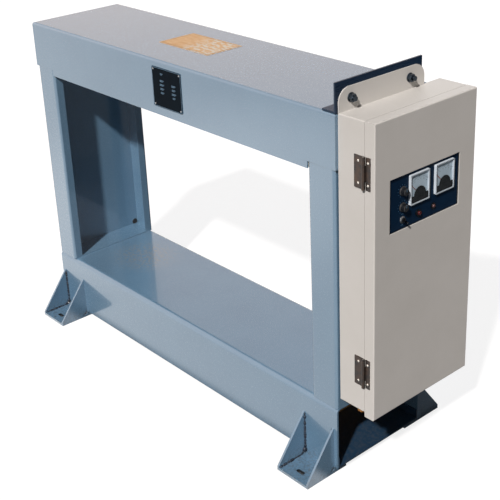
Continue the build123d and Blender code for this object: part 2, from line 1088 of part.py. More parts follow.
def meter_needle(y, z):
    """A needle with its hub and pivot, drawn at zero, up and to the left."""
    pivot_z = z - pivot_drop
    dial_face = panel_front + meter_base + meter_dial_sheet
    x0 = dial_face + needle_stand
    x1 = x0 + needle_sheet
    pointer = block(
        x0, x1, -needle_width / 2, needle_width / 2, -needle_tail, needle_length
    )
    pointer = Pos(0, y, pivot_z) * Rot(needle_rest_angle, 0, 0) * pointer
    hub = hexagon_x(x0, x1, y, pivot_z, needle_hub_flats)
    pivot = rod_x(panel_front - pivot_depth + touch_gap, x0, y, pivot_z, pivot_radius)
    return pointer + hub + pivot


def knob(y, z):
    """A skirted knob with a many-sided grip, a raised pointer line, and its shaft."""
    base = panel_front + knob_panel_gap
    face = base + knob_height
    place = Plane.YZ.offset(base) * Pos(y, z)
    skirt = extrude(place * RegularPolygon(knob_skirt_radius, skirt_sides), knob_skirt)
    grip = extrude(place * RegularPolygon(knob_radius, knob_sides), knob_height)
    pointer = block(
        face,
        face + knob_pointer_height,
        y - knob_pointer_width / 2,
        y + knob_pointer_width / 2,
        z,
        z + knob_radius - knob_pointer_width,
    )
    shaft = rod_x(panel_front - shaft_depth, base, y, z, shaft_radius)
    return skirt + grip + pointer + shaft


def potentiometers():
    """The potentiometers behind the panel, bored for the knobs' shafts."""
    pieces = []
    half = potentiometer_width / 2
    back = panel_back - potentiometer_depth
    for y, z in knob_places():
        body = block(back, panel_back, y - half, y + half, z - half, z + half)
        bushing = rod_x(panel_back, panel_front, y, z, bushing_radius)
        bore = rod_x(
            panel_front - shaft_depth - touch_gap,
            panel_front + overrun,
            y,
            z,
            shaft_radius + shaft_clearance,
        )
        pieces.append(body + bushing - bore)
    return pieces


def switch_body():
    """The toggle switch's case and bushing."""
    z = control_z
    case = block(
        panel_back - switch_body_depth,
        panel_back,
        switch_y - switch_body_width / 2,
        switch_y + switch_body_width / 2,
        z - switch_body_height / 2,
        z + switch_body_height / 2,
    )
    front = panel_front + switch_bushing_height
    bushing = rod_x(panel_back, front, switch_y, z, switch_bushing_radius)
    hole = rod_x(panel_back, front + overrun, switch_y, z, switch_hole_radius)
    return case + bushing - hole


def switch_lever():
    """The toggle lever with the cross pin that it turns on, tilted down in its off place."""
    root = panel_back + lever_pin_radius + touch_gap
    lever = rod_x(0, lever_length, 0, 0, lever_radius).rotate(Axis.Y, lever_angle)
    cross_pin = rod_y(-lever_pin_length / 2, lever_pin_length / 2, 0, 0, lever_pin_radius)
    return Pos(root, switch_y, control_z) * (lever + cross_pin)


def push_button_parts():
    """The button's fixed housing and its sliding cap."""
    z = control_z
    bezel_front = panel_front + button_bezel_height
    wall = button_radius - button_stem_radius / 2
    housing = rod_x(panel_front, bezel_front, button_y, z, button_bezel_radius)
    housing += square_x(
        panel_back - button_body_depth, panel_front, button_y, z, button_case_half
    )
    well_back = panel_back - button_body_depth + button_stem_stop
    housing -= rod_x(
        well_back, bezel_front + overrun, button_y, z, wall + button_clearance
    )
    housing -= rod_x(
        panel_back - button_body_depth - overrun,
        well_back + overrun,
        button_y,
        z,
        button_stem_radius + button_clearance,
    )
    cap_back = panel_back + button_travel
    cap = rod_x(cap_back, panel_front + button_stand, button_y, z, wall)
    stem = rod_x(
        panel_back - button_body_depth + touch_gap + button_travel,
        cap_back,
        button_y,
        z,
        button_stem_radius,
    )
    return housing, cap + stem


def indicator_lamp():
    """The lamp's bezel and case."""
    z = control_z
    bezel = rod_x(
        panel_front, panel_front + lamp_bezel_height, lamp_y, z, lamp_bezel_radius
    )
    case = square_x(panel_back - lamp_body_depth, panel_front, lamp_y, z, lamp_case_half)
    seat = rod_x(
        panel_front - lamp_bezel_height,
        panel_front + lamp_bezel_height + overrun,
        lamp_y,
        z,
        lamp_radius,
    )
    return bezel + case - seat


def lamp_lens():
    """The lamp's lens, seated in the bezel."""
    base = panel_front - lamp_bezel_height
    front = panel_front + lamp_bezel_height + lens_stand
    return rod_x(base, front, lamp_y, control_z, lamp_radius)


def component_plate_back():
    """The plane of the component plate's back face."""
    return cabinet_back + cabinet_back_sheet + standoff_height


def component_plate():
    """The plate inside the cabinet that carries the electrics, on four standoffs."""
    back = component_plate_back()
    y0 = cabinet_y0 + component_plate_inset
    y1 = cabinet_y1 - component_plate_inset
    z0 = body_bottom + component_plate_inset
    z1 = cabinet_top - component_plate_inset
    plate = block(back, back + component_plate_sheet, y0, y1, z0, z1)
    inset = component_plate_inset / 2
    for y in (y0 + inset, y1 - inset):
        for z in (z0 + inset, z1 - inset):
            plate += hexagon_x(cabinet_back + cabinet_back_sheet, back, y, z, standoff_flats)
    return plate


def board_origin():
    """The circuit board's lower corner and its back plane."""
    back = component_plate_back() + component_plate_sheet + board_stand
    return back, cabinet_mid - board_length / 2, body_bottom + board_lift


def circuit_board():
    """The printed board on its spacers."""
    back, y0, z0 = board_origin()
    board = block(back, back + board_sheet, y0, y0 + board_length, z0, z0 + board_height)
    inset = spacer_flats
    for y in (y0 + inset, y0 + board_length - inset):
        for z in (z0 + inset, z0 + board_height - inset):
            board += hexagon_x(back - board_stand, back, y, z, spacer_flats)
    return board


def board_components():
    """Capacitors, relays and chips on the board, each standing on its face."""
    back, y0, z0 = board_origin()
    face = back + board_sheet
    column = board_length / 6
    row = board_height / 4
    pieces = []
    for index in (1, 2):
        y = y0 + column * index
        pieces.append(
            block(
                face,
                face + capacitor_depth,
                y - capacitor_width / 2,
                y + capacitor_width / 2,
                z0 + row - capacitor_height / 2,
                z0 + row + capacitor_height / 2,
            )
        )
    for index in (4, 5):
        y = y0 + column * index
        pieces.append(
            block(
                face,
                face + relay_depth,
                y - relay_width / 2,
                y + relay_width / 2,
                z0 + row - relay_height / 2,
                z0 + row + relay_height / 2,
            )
        )
    for index in range(1, 6):
        y = y0 + column * index
        for z in (z0 + row * 2, z0 + row * 3):
            pieces.append(
                block(
                    face,
                    face + chip_depth,
                    y - chip_width / 2,
                    y + chip_width / 2,
                    z - chip_height / 2,
                    z + chip_height / 2,
                )
            )
    return pieces


def transformer_place():
    """The transformer's centre on the component plate."""
    base = component_plate_back() + component_plate_sheet
    z = body_bottom + transformer_lift
    return base, cabinet_mid + transformer_offset, z


def transformer_core():
    """The laminated core: three limbs joined top and bottom."""
    base, y, z = transformer_place()
    half = transformer_size / 2
    limb = transformer_size / 6
    x1 = base + transformer_stack + winding_overhang
    x0 = base + winding_overhang
    core = block(x0, x1, y - half, y + half, z - half, z + half)
    for side in (-1, 1):
        near = y + side * limb
        far = y + side * (limb + transformer_window)
        core -= block(
            x0 - overrun,
            x1 + overrun,
            min(near, far),
            max(near, far),
            z - half + limb,
            z + half - limb,
        )
    outer_limb = limb + transformer_window
    foot_pads = block(base, x0, y - half, y - outer_limb, z - half, z + half)
    foot_pads += block(base, x0, y + outer_limb, y + half, z - half, z + half)
    return core + foot_pads


def transformer_winding():
    """The winding round the middle limb."""
    base, y, z = transformer_place()
    half = transformer_size / 2
    limb = transformer_size / 6
    x0 = base + touch_gap
    x1 = base + transformer_stack + winding_overhang * 2 - touch_gap
    outer = block(
        x0,
        x1,
        y - limb - transformer_window + touch_gap,
        y + limb + transformer_window - touch_gap,
        z - half + limb,
        z + half - limb,
    )
    hollow = block(
        base + winding_overhang,
        base + transformer_stack + winding_overhang,
        y - limb,
        y + limb,
        z - half + limb - overrun,
        z + half - limb + overrun,
    )
    return outer - hollow


def terminal_block():
    """The terminal strip, with a screw well for each wire."""
    base = component_plate_back() + component_plate_sheet
    centre = cabinet_mid - terminal_offset
    z = body_bottom + terminal_lift
    y0 = centre - terminal_length / 2
    strip = block(
        base,
        base + terminal_depth,
        y0,
        y0 + terminal_length,
        z - terminal_height / 2,
        z + terminal_height / 2,
    )
    count = int(terminal_length / terminal_pitch)
    for index in range(count):
        y = y0 + terminal_length * (index + 1 / 2) / count
        strip -= block(
            base + terminal_depth / 2,
            base + terminal_depth + overrun,
            y - terminal_well / 2,
            y + terminal_well / 2,
            z - terminal_well / 2,
            z + terminal_well / 2,
        )
    return strip


def save_ring():
    """Write the ring's nodes."""
    save("bottom_beam_shell", bottom_beam_shell())
    save("bottom_beam_base", bottom_beam_base())
    save("left_upright", upright(-1))
    save("right_upright", upright(1))
    save("top_beam_shell", top_beam_shell())
    save("top_beam_liner", top_beam_liner())
    save("transmit_coil", transmit_coil())
    save("receive_coils", receive_coils())
    save("coil_bearers", coil_bearers())
    for name_y, side_y in (("front", -1), ("rear", 1)):
        for name_x, side_x in (("left", -1), ("right", 1)):
            save(name_y + "_" + name_x + "_foot", foot(side_x, side_y))
    save("blank_plate", blank_plate())
    save("top_label", top_label())


def save_cabinet():
    """Write the bracket's and the cabinet's nodes."""
    save("angle_bracket", angle_bracket())
    save("bracket_bolts", bracket_bolts())
    save("bracket_nuts", bracket_nuts())
    save("cabinet_body", cabinet_body())
    save("buffer_pads", buffer_pads())
    save("cable_glands", cable_glands())
    save("component_plate", component_plate())
    save("circuit_board", circuit_board())
    save("board_components", board_components())
    save("transformer_core", transformer_core())
    save("transformer_winding", transformer_winding())
    save("terminal_block", terminal_block())
    save("lock_barrel", lock_barrel())
    save("lock_plug", lock_plug())


def save_door():
    """Write the door's, the hinges' and the instruments' nodes."""
    save("door_pan", door_pan())
    save("door_gasket", door_gasket())
    save("lock_strike", lock_strike())
    for name, centre in (("upper", hinge_upper), ("lower", hinge_lower)):
        save(name + "_hinge_body_leaf", hinge_leaf(centre, False))
        save(name + "_hinge_door_leaf", hinge_leaf(centre, True))
    save("hinge_pins", hinge_pins())
    save("instrument_gasket", instrument_gasket())
    save("instrument_panel", instrument_panel())
    names = ("left", "right")
    for name, (y, z) in zip(names, meter_places()):
        save(name + "_meter_case", meter_case(y, z))
        save(name + "_meter_needle", meter_needle(y, z))
    save("meter_dials", [meter_dial(y, z) for y, z in meter_places()])
    save("meter_shrouds", [meter_shroud(y, z) for y, z in meter_places()])
    save("meter_covers", [meter_cover(y, z) for y, z in meter_places()])
    save("potentiometers", potentiometers())
    for name, (y, z) in zip(("upper", "lower"), knob_places()):
        save(name + "_knob", knob(y, z))
    save("switch_body", switch_body())
    save("switch_lever", switch_lever())
    housing, cap = push_button_parts()
    save("button_housing", housing)
    save("push_button", cap)
    save("indicator_lamp", indicator_lamp())
    save("lamp_lens", lamp_lens())


os.makedirs("parts", exist_ok=True)
save_ring()
save_cabinet()
save_door()
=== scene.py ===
"""A conveyor metal detector dressed for the studio.

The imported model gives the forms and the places. This script gives each surface its finish, adds the small
fasteners, welds, scales and marks, and sets the floor, the light and the camera.
"""

import json
import logging
import math
from dataclasses import dataclass
from enum import Enum

import bmesh
import bpy
from mathutils import Euler, Matrix, Vector


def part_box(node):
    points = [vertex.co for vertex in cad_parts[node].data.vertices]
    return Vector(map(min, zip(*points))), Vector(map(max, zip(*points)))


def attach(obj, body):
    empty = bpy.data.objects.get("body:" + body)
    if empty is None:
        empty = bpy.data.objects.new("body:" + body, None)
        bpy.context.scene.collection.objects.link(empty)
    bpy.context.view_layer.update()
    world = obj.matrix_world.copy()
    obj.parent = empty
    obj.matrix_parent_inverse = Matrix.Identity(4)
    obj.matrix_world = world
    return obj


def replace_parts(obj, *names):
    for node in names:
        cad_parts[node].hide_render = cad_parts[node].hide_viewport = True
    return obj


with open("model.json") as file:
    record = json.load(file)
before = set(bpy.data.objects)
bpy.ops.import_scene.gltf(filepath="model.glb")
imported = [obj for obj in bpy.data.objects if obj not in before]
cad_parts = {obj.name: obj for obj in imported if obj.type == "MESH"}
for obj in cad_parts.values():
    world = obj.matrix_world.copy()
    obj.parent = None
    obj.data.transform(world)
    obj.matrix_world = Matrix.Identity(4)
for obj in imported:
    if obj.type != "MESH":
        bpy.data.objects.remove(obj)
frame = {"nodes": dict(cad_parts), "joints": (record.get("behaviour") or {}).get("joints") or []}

LOG = logging.getLogger("metal_detector")
MM = 0.001
FULL_TURN = 2 * math.pi
QUARTER_TURN = math.pi / 2

Mesh = bpy.types.Mesh
Node = bpy.types.Node
Socket = bpy.types.NodeSocket
Tree = bpy.types.NodeTree
Pair = tuple[float, float]
Triple = tuple[float, float, float]
Source = Node | Socket
Inputs = dict[object, object]

# Socket places on a colour Mix node, whose sockets share their names.
MIX_FACTOR = 0
MIX_FIRST = 6
MIX_SECOND = 7
MIX_RESULT = 2

# Directions that a face's own upright axis is turned to.
UPRIGHT = (0.0, 0.0, 0.0)
FACING_FRONT = (QUARTER_TURN, 0.0, 0.0)
FACING_END = (QUARTER_TURN, 0.0, QUARTER_TURN)
FACING_RING = (QUARTER_TURN, 0.0, -QUARTER_TURN)

# Where a noise texture's value starts and ends a change of tone, of gloss, to speckles and to rubbed spots.
TONE_RANGE = (0.35, 0.7)
GLOSS_RANGE = (0.25, 0.75)
SPECKLE_RANGE = (0.45, 0.68)
RUBBED_RANGE = (0.46, 0.56)

# Half thickness of printed ink, and the angle from which a turned edge is sharp.
INK_PROUD = 0.08 * MM
SHARP_ANGLE = math.radians(32)

FEET = ("front_left_foot", "front_right_foot", "rear_left_foot", "rear_right_foot")


def linear(code: str, alpha: float = 1.0) -> tuple[float, float, float, float]:
    """Turn an sRGB hex code into a linear colour.

    Args:
        code: Six hex digits, red, green and blue.
        alpha: Opacity, from 0 to 1.

    Returns:
        Linear red, green, blue and the opacity.
    """
    channels = [int(code[i : i + 2], 16) / 255 for i in (0, 2, 4)]
    values = [c / 12.92 if c <= 0.04045 else ((c + 0.055) / 1.055) ** 2.4 for c in channels]
    return values[0], values[1], values[2], alpha


def add_node(tree: Tree, kind: str, inputs: Inputs | None = None, **settings: object) -> Node:
    """Add a node with its settings and its inputs.

    Args:
        tree: The tree that gets the node.
        kind: Blender's name for the node's type.
        inputs: Values, or sockets or nodes to link from, by the input's name or place. A node gives its
            first output.
        settings: Properties of the node itself.

    Returns:
        The new node.
    """
    node = tree.nodes.new(kind)
    for key, value in settings.items():
        setattr(node, key, value)
    for key, value in (inputs or {}).items():
        source = value.outputs[0] if isinstance(value, Node) else value
        if isinstance(source, Socket):
            tree.links.new(source, node.inputs[key])
        else:
            node.inputs[key].default_value = source
    return node


class Relief(Enum):
    """How the fine relief of a surface runs."""

    GRAIN = "grain"
    BRUSHED = "brushed"
    CELLS = "cells"
    WRAPPED = "wrapped"


@dataclass(frozen=True)
class Finish:
    """A surface's material and the way that it was made.

    Attributes:
        name: The material's common name.
        colour: Its main colour, as sRGB hex.
        second: The tone of its patches and streaks.
        spread: How strongly the second tone shows, from 0 to 1.
        patch_mm: Size of the tonal patches.
        grain_mm: Size of the fine relief.
        relief_mm: Height of the fine relief.
        relief: How the fine relief runs.
        stretch: Scale of the pattern along X, Y and Z.
        metallic: 1 for bare metal, 0 for all else.
        roughness: Mean roughness.
        gloss_spread: How far the roughness strays from its mean.
        coat: Weight of a clear coat.
        coat_roughness: Roughness of the clear coat.
        ior: Index of refraction.
        clear: Share of light let through.
        specular: Strength of the plain gloss, 0.5 for an untreated surface.
    """

    name: str
    colour: str
    second: str
    spread: float = 0.3
    patch_mm: float = 90.0
    grain_mm: float = 1.5
    relief_mm: float = 0.02
    relief: Relief = Relief.GRAIN
    stretch: Triple = (1.0, 1.0, 1.0)
    metallic: float = 0.0
    roughness: float = 0.4
    gloss_spread: float = 0.06
    coat: float = 0.0
    coat_roughness: float = 0.06
    ior: float = 1.5
    clear: float = 0.0
    specular: float = 0.5

    def height(self, tree: Tree, place: Socket) -> Socket:
        """Add the fine relief's texture.

        Args:
            tree: The material's tree.
            place: The pattern's coordinates.

        Returns:
            The socket that carries the relief's height.
        """
        scale = 1 / (self.grain_mm * MM)
        if self.relief is Relief.CELLS:
            cells = add_node(
                tree, "ShaderNodeTexVoronoi", {"Vector": place, "Scale": scale}, feature="SMOOTH_F1"
            )
            return cells.outputs["Distance"]
        if self.relief is Relief.WRAPPED:
            bands = add_node(
                tree,
                "ShaderNodeTexWave",
                {"Vector": place, "Scale": scale / FULL_TURN, "Distortion": 0.6, "Detail": 2.0},
                bands_direction="DIAGONAL",
                wave_profile="SAW",
            )
            return bands.outputs["Fac"]
        noise = add_node(tree, "ShaderNodeTexNoise", {"Vector": place, "Scale": scale, "Detail": 3.0})
        return noise.outputs[0]

    def tint(self, tree: Tree, place: Socket, raw: Socket) -> Socket:
        """Add the slow change between the two tones.

        Args:
            tree: The material's tree.
            place: The pattern's coordinates.
            raw: Object coordinates, unstretched, for the finishes that need them.

        Returns:
            The socket that carries the colour.
        """
        patches = add_node(
            tree,
            "ShaderNodeTexNoise",
            {"Vector": place, "Scale": 1 / (self.patch_mm * MM), "Detail": 5.0, "Roughness": 0.6},
        )
        start, end = TONE_RANGE
        amount = add_node(
            tree,
            "ShaderNodeMapRange",
            {"Value": patches, "From Min": start, "From Max": end, "To Max": self.spread},
        )
        mixed = add_node(
            tree,
            "ShaderNodeMix",
            {MIX_FACTOR: amount, MIX_FIRST: linear(self.colour), MIX_SECOND: linear(self.second)},
            data_type="RGBA",
        )
        return mixed.outputs[MIX_RESULT]

    @staticmethod
    def lay_over(tree: Tree, under: Socket, over: str, region: Socket, spots: Socket) -> Socket:
        """Lay another colour over the first, in the spots of one region.

        Args:
            tree: The material's tree.
            under: The colour so far.
            over: The colour that is laid on, as sRGB hex.
            region: How far the place lies in the region, from 0 to 1.
            spots: How far the place lies in a spot, from 0 to 1.

        Returns:
            The socket that carries the colour.
        """
        share = add_node(tree, "ShaderNodeMath", {0: region, 1: spots}, operation="MULTIPLY")
        mixed = add_node(
            tree,
            "ShaderNodeMix",
            {MIX_FACTOR: share, MIX_FIRST: under, MIX_SECOND: linear(over)},
            data_type="RGBA",
        )
        return mixed.outputs[MIX_RESULT]

    def build(self) -> bpy.types.Material:
        """Make the Blender material.

        Returns:
            The material, made once and found again by its name.
        """
        known = bpy.data.materials.get(self.name)
        if known:
            return known
        material = bpy.data.materials.new(self.name)
        material.use_nodes = True
        tree = material.node_tree
        shader = tree.nodes["Principled BSDF"]
        raw = add_node(tree, "ShaderNodeTexCoord").outputs["Object"]
        place = add_node(tree, "ShaderNodeMapping", {"Vector": raw, "Scale": self.stretch})
        height = self.height(tree, place.outputs[0])
        bump = add_node(
            tree, "ShaderNodeBump", {"Height": height, "Strength": 1.0, "Distance": self.relief_mm * MM}
        )
        gloss = add_node(
            tree,
            "ShaderNodeMapRange",
            {
                "Value": height,
                "From Min": GLOSS_RANGE[0],
                "From Max": GLOSS_RANGE[1],
                "To Min": self.roughness - self.gloss_spread,
                "To Max": self.roughness + self.gloss_spread,
            },
        )
        tree.links.new(self.tint(tree, place.outputs[0], raw), shader.inputs["Base Color"])
        tree.links.new(gloss.outputs["Result"], shader.inputs["Roughness"])
        tree.links.new(bump.outputs["Normal"], shader.inputs["Normal"])
        for key, value in (
            ("Metallic", self.metallic),
            ("IOR", self.ior),
            ("Coat Weight", self.coat),
            ("Coat Roughness", self.coat_roughness),
            ("Specular IOR Level", self.specular),
            ("Alpha", 1 - self.clear),
        ):
            shader.inputs[key].default_value = value
        material.diffuse_color = linear(self.colour)
        return material


@dataclass(frozen=True)
class SoiledEnamel(Finish):
    """Sprayed enamel with shop grime near the floor and scuffs on the belt bed.

    Attributes:
        speckle_mm: Size of the specks of grime and scuffs.
        grime: Colour of the grime.
        grime_share: How strongly the grime shows at the floor.
        grime_top_mm: Height at which the grime has faded.
        scuff: Colour of the scuffs.
        scuff_share: How strongly the scuffs show at their centre.
        scuff_core: Share of the scuffed patch that is scuffed in full.
        scuff_place: Centre of the scuffed patch, in metres.
        scuff_reach: Half sizes of the scuffed patch, in metres.
    """

    speckle_mm: float = 9.0
    grime: str = "4A4F54"
    grime_share: float = 0.75
    grime_top_mm: float = 60.0
    scuff: str = "8E8272"
    scuff_share: float = 0.85
    scuff_core: float = 0.2
    scuff_place: Triple = (-0.43, 0.02, 0.208)
    scuff_reach: Triple = (0.16, 0.14, 0.03)

    def tint(self, tree: Tree, place: Socket, raw: Socket) -> Socket:
        """Add the two tones, then the grime and the scuffs over them.

        Args:
            tree: The material's tree.
            place: The pattern's coordinates.
            raw: Object coordinates, unstretched.

        Returns:
            The socket that carries the colour.
        """
        speckle = add_node(
            tree,
            "ShaderNodeTexNoise",
            {"Vector": raw, "Scale": 1 / (self.speckle_mm * MM), "Detail": 6.0, "Roughness": 0.7},
        )
        start, end = SPECKLE_RANGE
        specks = add_node(tree, "ShaderNodeMapRange", {"Value": speckle, "From Min": start, "From Max": end})
        split = add_node(tree, "ShaderNodeSeparateXYZ", {"Vector": raw})
        centred = add_node(
            tree,
            "ShaderNodeMapping",
            {"Vector": raw, "Location": self.scuff_place, "Scale": self.scuff_reach},
            vector_type="TEXTURE",
        )
        distance = add_node(tree, "ShaderNodeVectorMath", {0: centred}, operation="LENGTH")
        colour = super().tint(tree, place, raw)
        for measure, full, faded, share, soil in (
            (split.outputs["Z"], 0.0, self.grime_top_mm * MM, self.grime_share, self.grime),
            (distance.outputs["Value"], self.scuff_core, 1.0, self.scuff_share, self.scuff),
        ):
            region = add_node(
                tree,
                "ShaderNodeMapRange",
                {"Value": measure, "From Min": full, "From Max": faded, "To Min": share, "To Max": 0.0},
                interpolation_type="SMOOTHSTEP",
            )
            colour = self.lay_over(tree, colour, soil, region.outputs["Result"], specks.outputs["Result"])
        return colour


@dataclass(frozen=True)
class RubbedFilm(Finish):
    """Printing film whose ground shows through in rubbed spots on one side.

    Attributes:
        ground: Colour of the ground.
        spot_mm: Size of the rubbed spots.
        rubbed_from: Where along X the rubbing starts, in metres.
        rubbed_full: Where along X it is at its strongest, in metres.
    """

    ground: str = "C4BDB0"
    spot_mm: float = 19.0
    rubbed_from: float = -0.10
    rubbed_full: float = -0.02

    def tint(self, tree: Tree, place: Socket, raw: Socket) -> Socket:
        """Add the film's two tones, then the rubbed spots over them.

        Args:
            tree: The material's tree.
            place: The pattern's coordinates.
            raw: Object coordinates, unstretched.

        Returns:
            The socket that carries the colour.
        """
        film = super().tint(tree, place, raw)
        split = add_node(tree, "ShaderNodeSeparateXYZ", {"Vector": raw})
        side = add_node(
            tree,
            "ShaderNodeMapRange",
            {"Value": split.outputs["X"], "From Min": self.rubbed_from, "From Max": self.rubbed_full},
            interpolation_type="SMOOTHSTEP",
        )
        spots = add_node(
            tree, "ShaderNodeTexNoise", {"Vector": place, "Scale": 1 / (self.spot_mm * MM), "Detail": 2.0}
        )
        start, end = RUBBED_RANGE
        bare = add_node(tree, "ShaderNodeMapRange", {"Value": spots, "From Min": start, "From Max": end})
        return self.lay_over(tree, film, self.ground, side.outputs["Result"], bare.outputs["Result"])


# Gloss enamel sprayed on folded steel: a mid blue that its hard sheen lifts to grey, with a faint orange
# peel, grime low down and a scuffed bed.
RING_ENAMEL = SoiledEnamel(
    "gloss_enamel_sprayed", "5E7D95", "55738C", spread=0.5, patch_mm=160.0, grain_mm=2.6,
    relief_mm=0.006, roughness=0.26, gloss_spread=0.03, coat=1.0, coat_roughness=0.05,
)
# The bottom beam's tray: the same enamel in a thinner, duller coat, its colour darkened to deep navy as
# painted shade for the shade in the beam's hollow.
TRAY_PAINTED_SHADE = SoiledEnamel(
    "gloss_enamel_painted_shade", "1A344B", "152B3F", spread=0.5, patch_mm=120.0, grain_mm=2.2, relief_mm=0.02,
    roughness=0.4, coat=0.2, coat_roughness=0.2,
)
# Powder coat with a fine grit: nearly matt, warm off-white, hardly any sheen.
CABINET_POWDER = Finish(
    "powder_coat_textured", "CDCAC6", "C4C1BC", spread=0.5, patch_mm=140.0, grain_mm=0.9,
    relief_mm=0.035, roughness=0.55, gloss_spread=0.05, specular=0.2,
)
# Brush-painted enamel on the angle: deep navy, with faint brush marks and a low sheen.
BRACKET_ENAMEL = Finish(
    "enamel_brushed_on", "0A2036", "112C46", spread=0.6, patch_mm=40.0, grain_mm=3.0, relief_mm=0.03,
    relief=Relief.BRUSHED, stretch=(1.0, 0.1, 1.0), roughness=0.3, specular=0.2,
)
# Zinc plate: silvery with a faint crystal patchwork and a satin shine.
ZINC_PLATE = Finish(
    "zinc_plated_steel", "A4A9AD", "7F858B", spread=0.6, patch_mm=6.0, grain_mm=0.8, relief_mm=0.01,
    metallic=1.0, roughness=0.26,
)
# Zinc plate on sheet, duller and streaked along its rolling direction.
ZINC_SHEET = Finish(
    "zinc_plated_sheet", "B4B6B2", "9C9F9C", spread=0.5, patch_mm=25.0, grain_mm=1.2, relief_mm=0.01,
    relief=Relief.BRUSHED, stretch=(1.0, 1.0, 0.1), metallic=1.0, roughness=0.42,
)
# Black engraving laminate, pressed smooth, with a hard low gloss.
PLATE_LAMINATE = Finish(
    "engraving_laminate", "060D14", "0B1720", spread=0.5, patch_mm=30.0, grain_mm=0.8, relief_mm=0.004,
    roughness=0.5, specular=0.02,
)
# The light core of the laminate, where its face is cut through.
LAMINATE_CORE = Finish(
    "engraving_laminate_core", "5E7E96", "42607A", spread=0.7, patch_mm=3.0, grain_mm=0.6,
    relief_mm=0.004, roughness=0.5,
)
# Black passivated zinc on the bracket's bolts: blue-black, with bright worn edges.
BLACK_ZINC = Finish(
    "zinc_black_passivated", "4E5964", "2A323B", spread=0.7, patch_mm=4.0, grain_mm=0.7, relief_mm=0.01,
    metallic=1.0, roughness=0.28,
)
# Gold printing film: warm and half metallic, with a cream ground showing through where it is rubbed.
GOLD_FILM = RubbedFilm(
    "gold_printing_film", "BD9262", "CDAC84", spread=0.8, patch_mm=22.0, grain_mm=1.0, relief_mm=0.003,
    stretch=(1.0, 2.0, 1.0), metallic=0.15, roughness=0.5, specular=0.3,
)
# Weld metal left as it cooled: dark blue-grey scale over coarse ripples.
WELD_SCALE = Finish(
    "weld_scale", "1B2C3D", "302D2E", spread=0.8, patch_mm=7.0, grain_mm=1.6, relief_mm=0.08,
    metallic=0.4, roughness=0.5, specular=0.3,
)
# Dull blue-black liner inside the feet's slots: painted shade for the shadow in the slots, dressed as mill
# scale and cutting soot.
SLOT_PAINTED_SHADE = Finish(
    "slot_liner_painted_shade", "0E151C", "1A1B1C", spread=0.7, patch_mm=5.0, grain_mm=1.2, relief_mm=0.04,
    roughness=0.8, specular=0.15,
)
# Spring brass gone dull, brown in its hollows.
DULL_BRASS = Finish(
    "brass_dull", "9A6A38", "6E4824", spread=0.8, patch_mm=8.0, grain_mm=0.8, relief_mm=0.01,
    metallic=1.0, roughness=0.42,
)
# Moulded nitrile rubber, black with a dusty bloom.
BLACK_RUBBER = Finish(
    "rubber_moulded", "141517", "232426", spread=0.6, patch_mm=12.0, grain_mm=0.7, relief_mm=0.01,
    roughness=0.62,
)
# Closed-cell foam: dull, with small open cells on its cut face.
FOAM = Finish(
    "foam_closed_cell", "2A2B2D", "3A3B3D", spread=0.5, patch_mm=10.0, grain_mm=1.6, relief_mm=0.15,
    relief=Relief.CELLS, roughness=0.85,
)
# Dark bronze plate on the hinges, brown where hands have rubbed it.
HINGE_BRONZE = Finish(
    "bronze_plated_steel", "2F2E2E", "513F33", spread=0.7, patch_mm=14.0, grain_mm=0.9, relief_mm=0.01,
    metallic=0.75, roughness=0.42,
)
# Ground steel pin with fine rings.
GROUND_STEEL = Finish(
    "ground_steel", "8C8A86", "77746F", spread=0.5, patch_mm=6.0, grain_mm=0.5, relief_mm=0.005,
    metallic=1.0, roughness=0.3,
)
# Bright nickel on screws and the lock: clear reflections.
BRIGHT_NICKEL = Finish(
    "nickel_plated_steel", "D2D0CA", "B9B6AF", spread=0.5, patch_mm=5.0, grain_mm=0.6, relief_mm=0.004,
    metallic=1.0, roughness=0.18,
)
# Matt navy lacquer on the instrument panel: deep, with hardly any sheen.
PANEL_LACQUER = Finish(
    "lacquer_matt", "071C31", "0B263F", spread=0.6, patch_mm=40.0, grain_mm=0.9, relief_mm=0.008,
    roughness=0.55, specular=0.06,
)
# Pale ink of the marks on the panel, thick enough to catch light.
PANEL_INK = Finish(
    "screen_ink", "4A7391", "3A6280", spread=0.5, patch_mm=5.0, grain_mm=0.4, relief_mm=0.004, roughness=0.5
)
# White ABS of the meter cases: clean, hard, with a moulded gloss.
WHITE_ABS = Finish(
    "abs_moulded_white", "D5DFE8", "C4D0DB", spread=0.5, patch_mm=12.0, grain_mm=0.8, relief_mm=0.006,
    roughness=0.28,
)
# Printed dial card: cool white, matt.
DIAL_CARD = Finish(
    "dial_card_printed", "BCD0DE", "AEC4D4", spread=0.5, patch_mm=20.0, grain_mm=0.5, relief_mm=0.003,
    roughness=0.55,
)
# Black ink on the dial card.
DIAL_INK = Finish(
    "dial_ink", "15181C", "202429", spread=0.5, patch_mm=4.0, grain_mm=0.4, relief_mm=0.002, roughness=0.5
)
# Clear acrylic meter window: sharp reflections, hardly any colour.
ACRYLIC = Finish(
    "acrylic_clear", "6C767C", "69737A", spread=0.2, patch_mm=60.0, grain_mm=8.0, relief_mm=0.002,
    roughness=0.05, gloss_spread=0.01, ior=1.49, clear=0.94,
)
# Enamelled aluminium needle, dull red-brown.
NEEDLE_ENAMEL = Finish(
    "needle_enamel", "8A3A1E", "7A2A18", spread=0.5, patch_mm=5.0, grain_mm=0.4, relief_mm=0.003,
    roughness=0.4,
)
# Black ABS of the knobs and the switch, moulded with a light sheen.
BLACK_ABS = Finish(
    "abs_moulded", "15171B", "202328", spread=0.5, patch_mm=9.0, grain_mm=0.7, relief_mm=0.008, roughness=0.34
)
# Matt black card of the meters' shrouds, which takes all stray light.
SHROUD_CARD = Finish(
    "card_matt_black", "08090B", "0E1013", spread=0.5, patch_mm=9.0, grain_mm=0.6, relief_mm=0.008,
    roughness=0.7, specular=0.1,
)
# Black chrome on the lever: dark and still mirror-like.
BLACK_CHROME = Finish(
    "chrome_black", "3C4048", "30343B", spread=0.3, patch_mm=4.0, grain_mm=0.5, relief_mm=0.002,
    metallic=1.0, roughness=0.16,
)
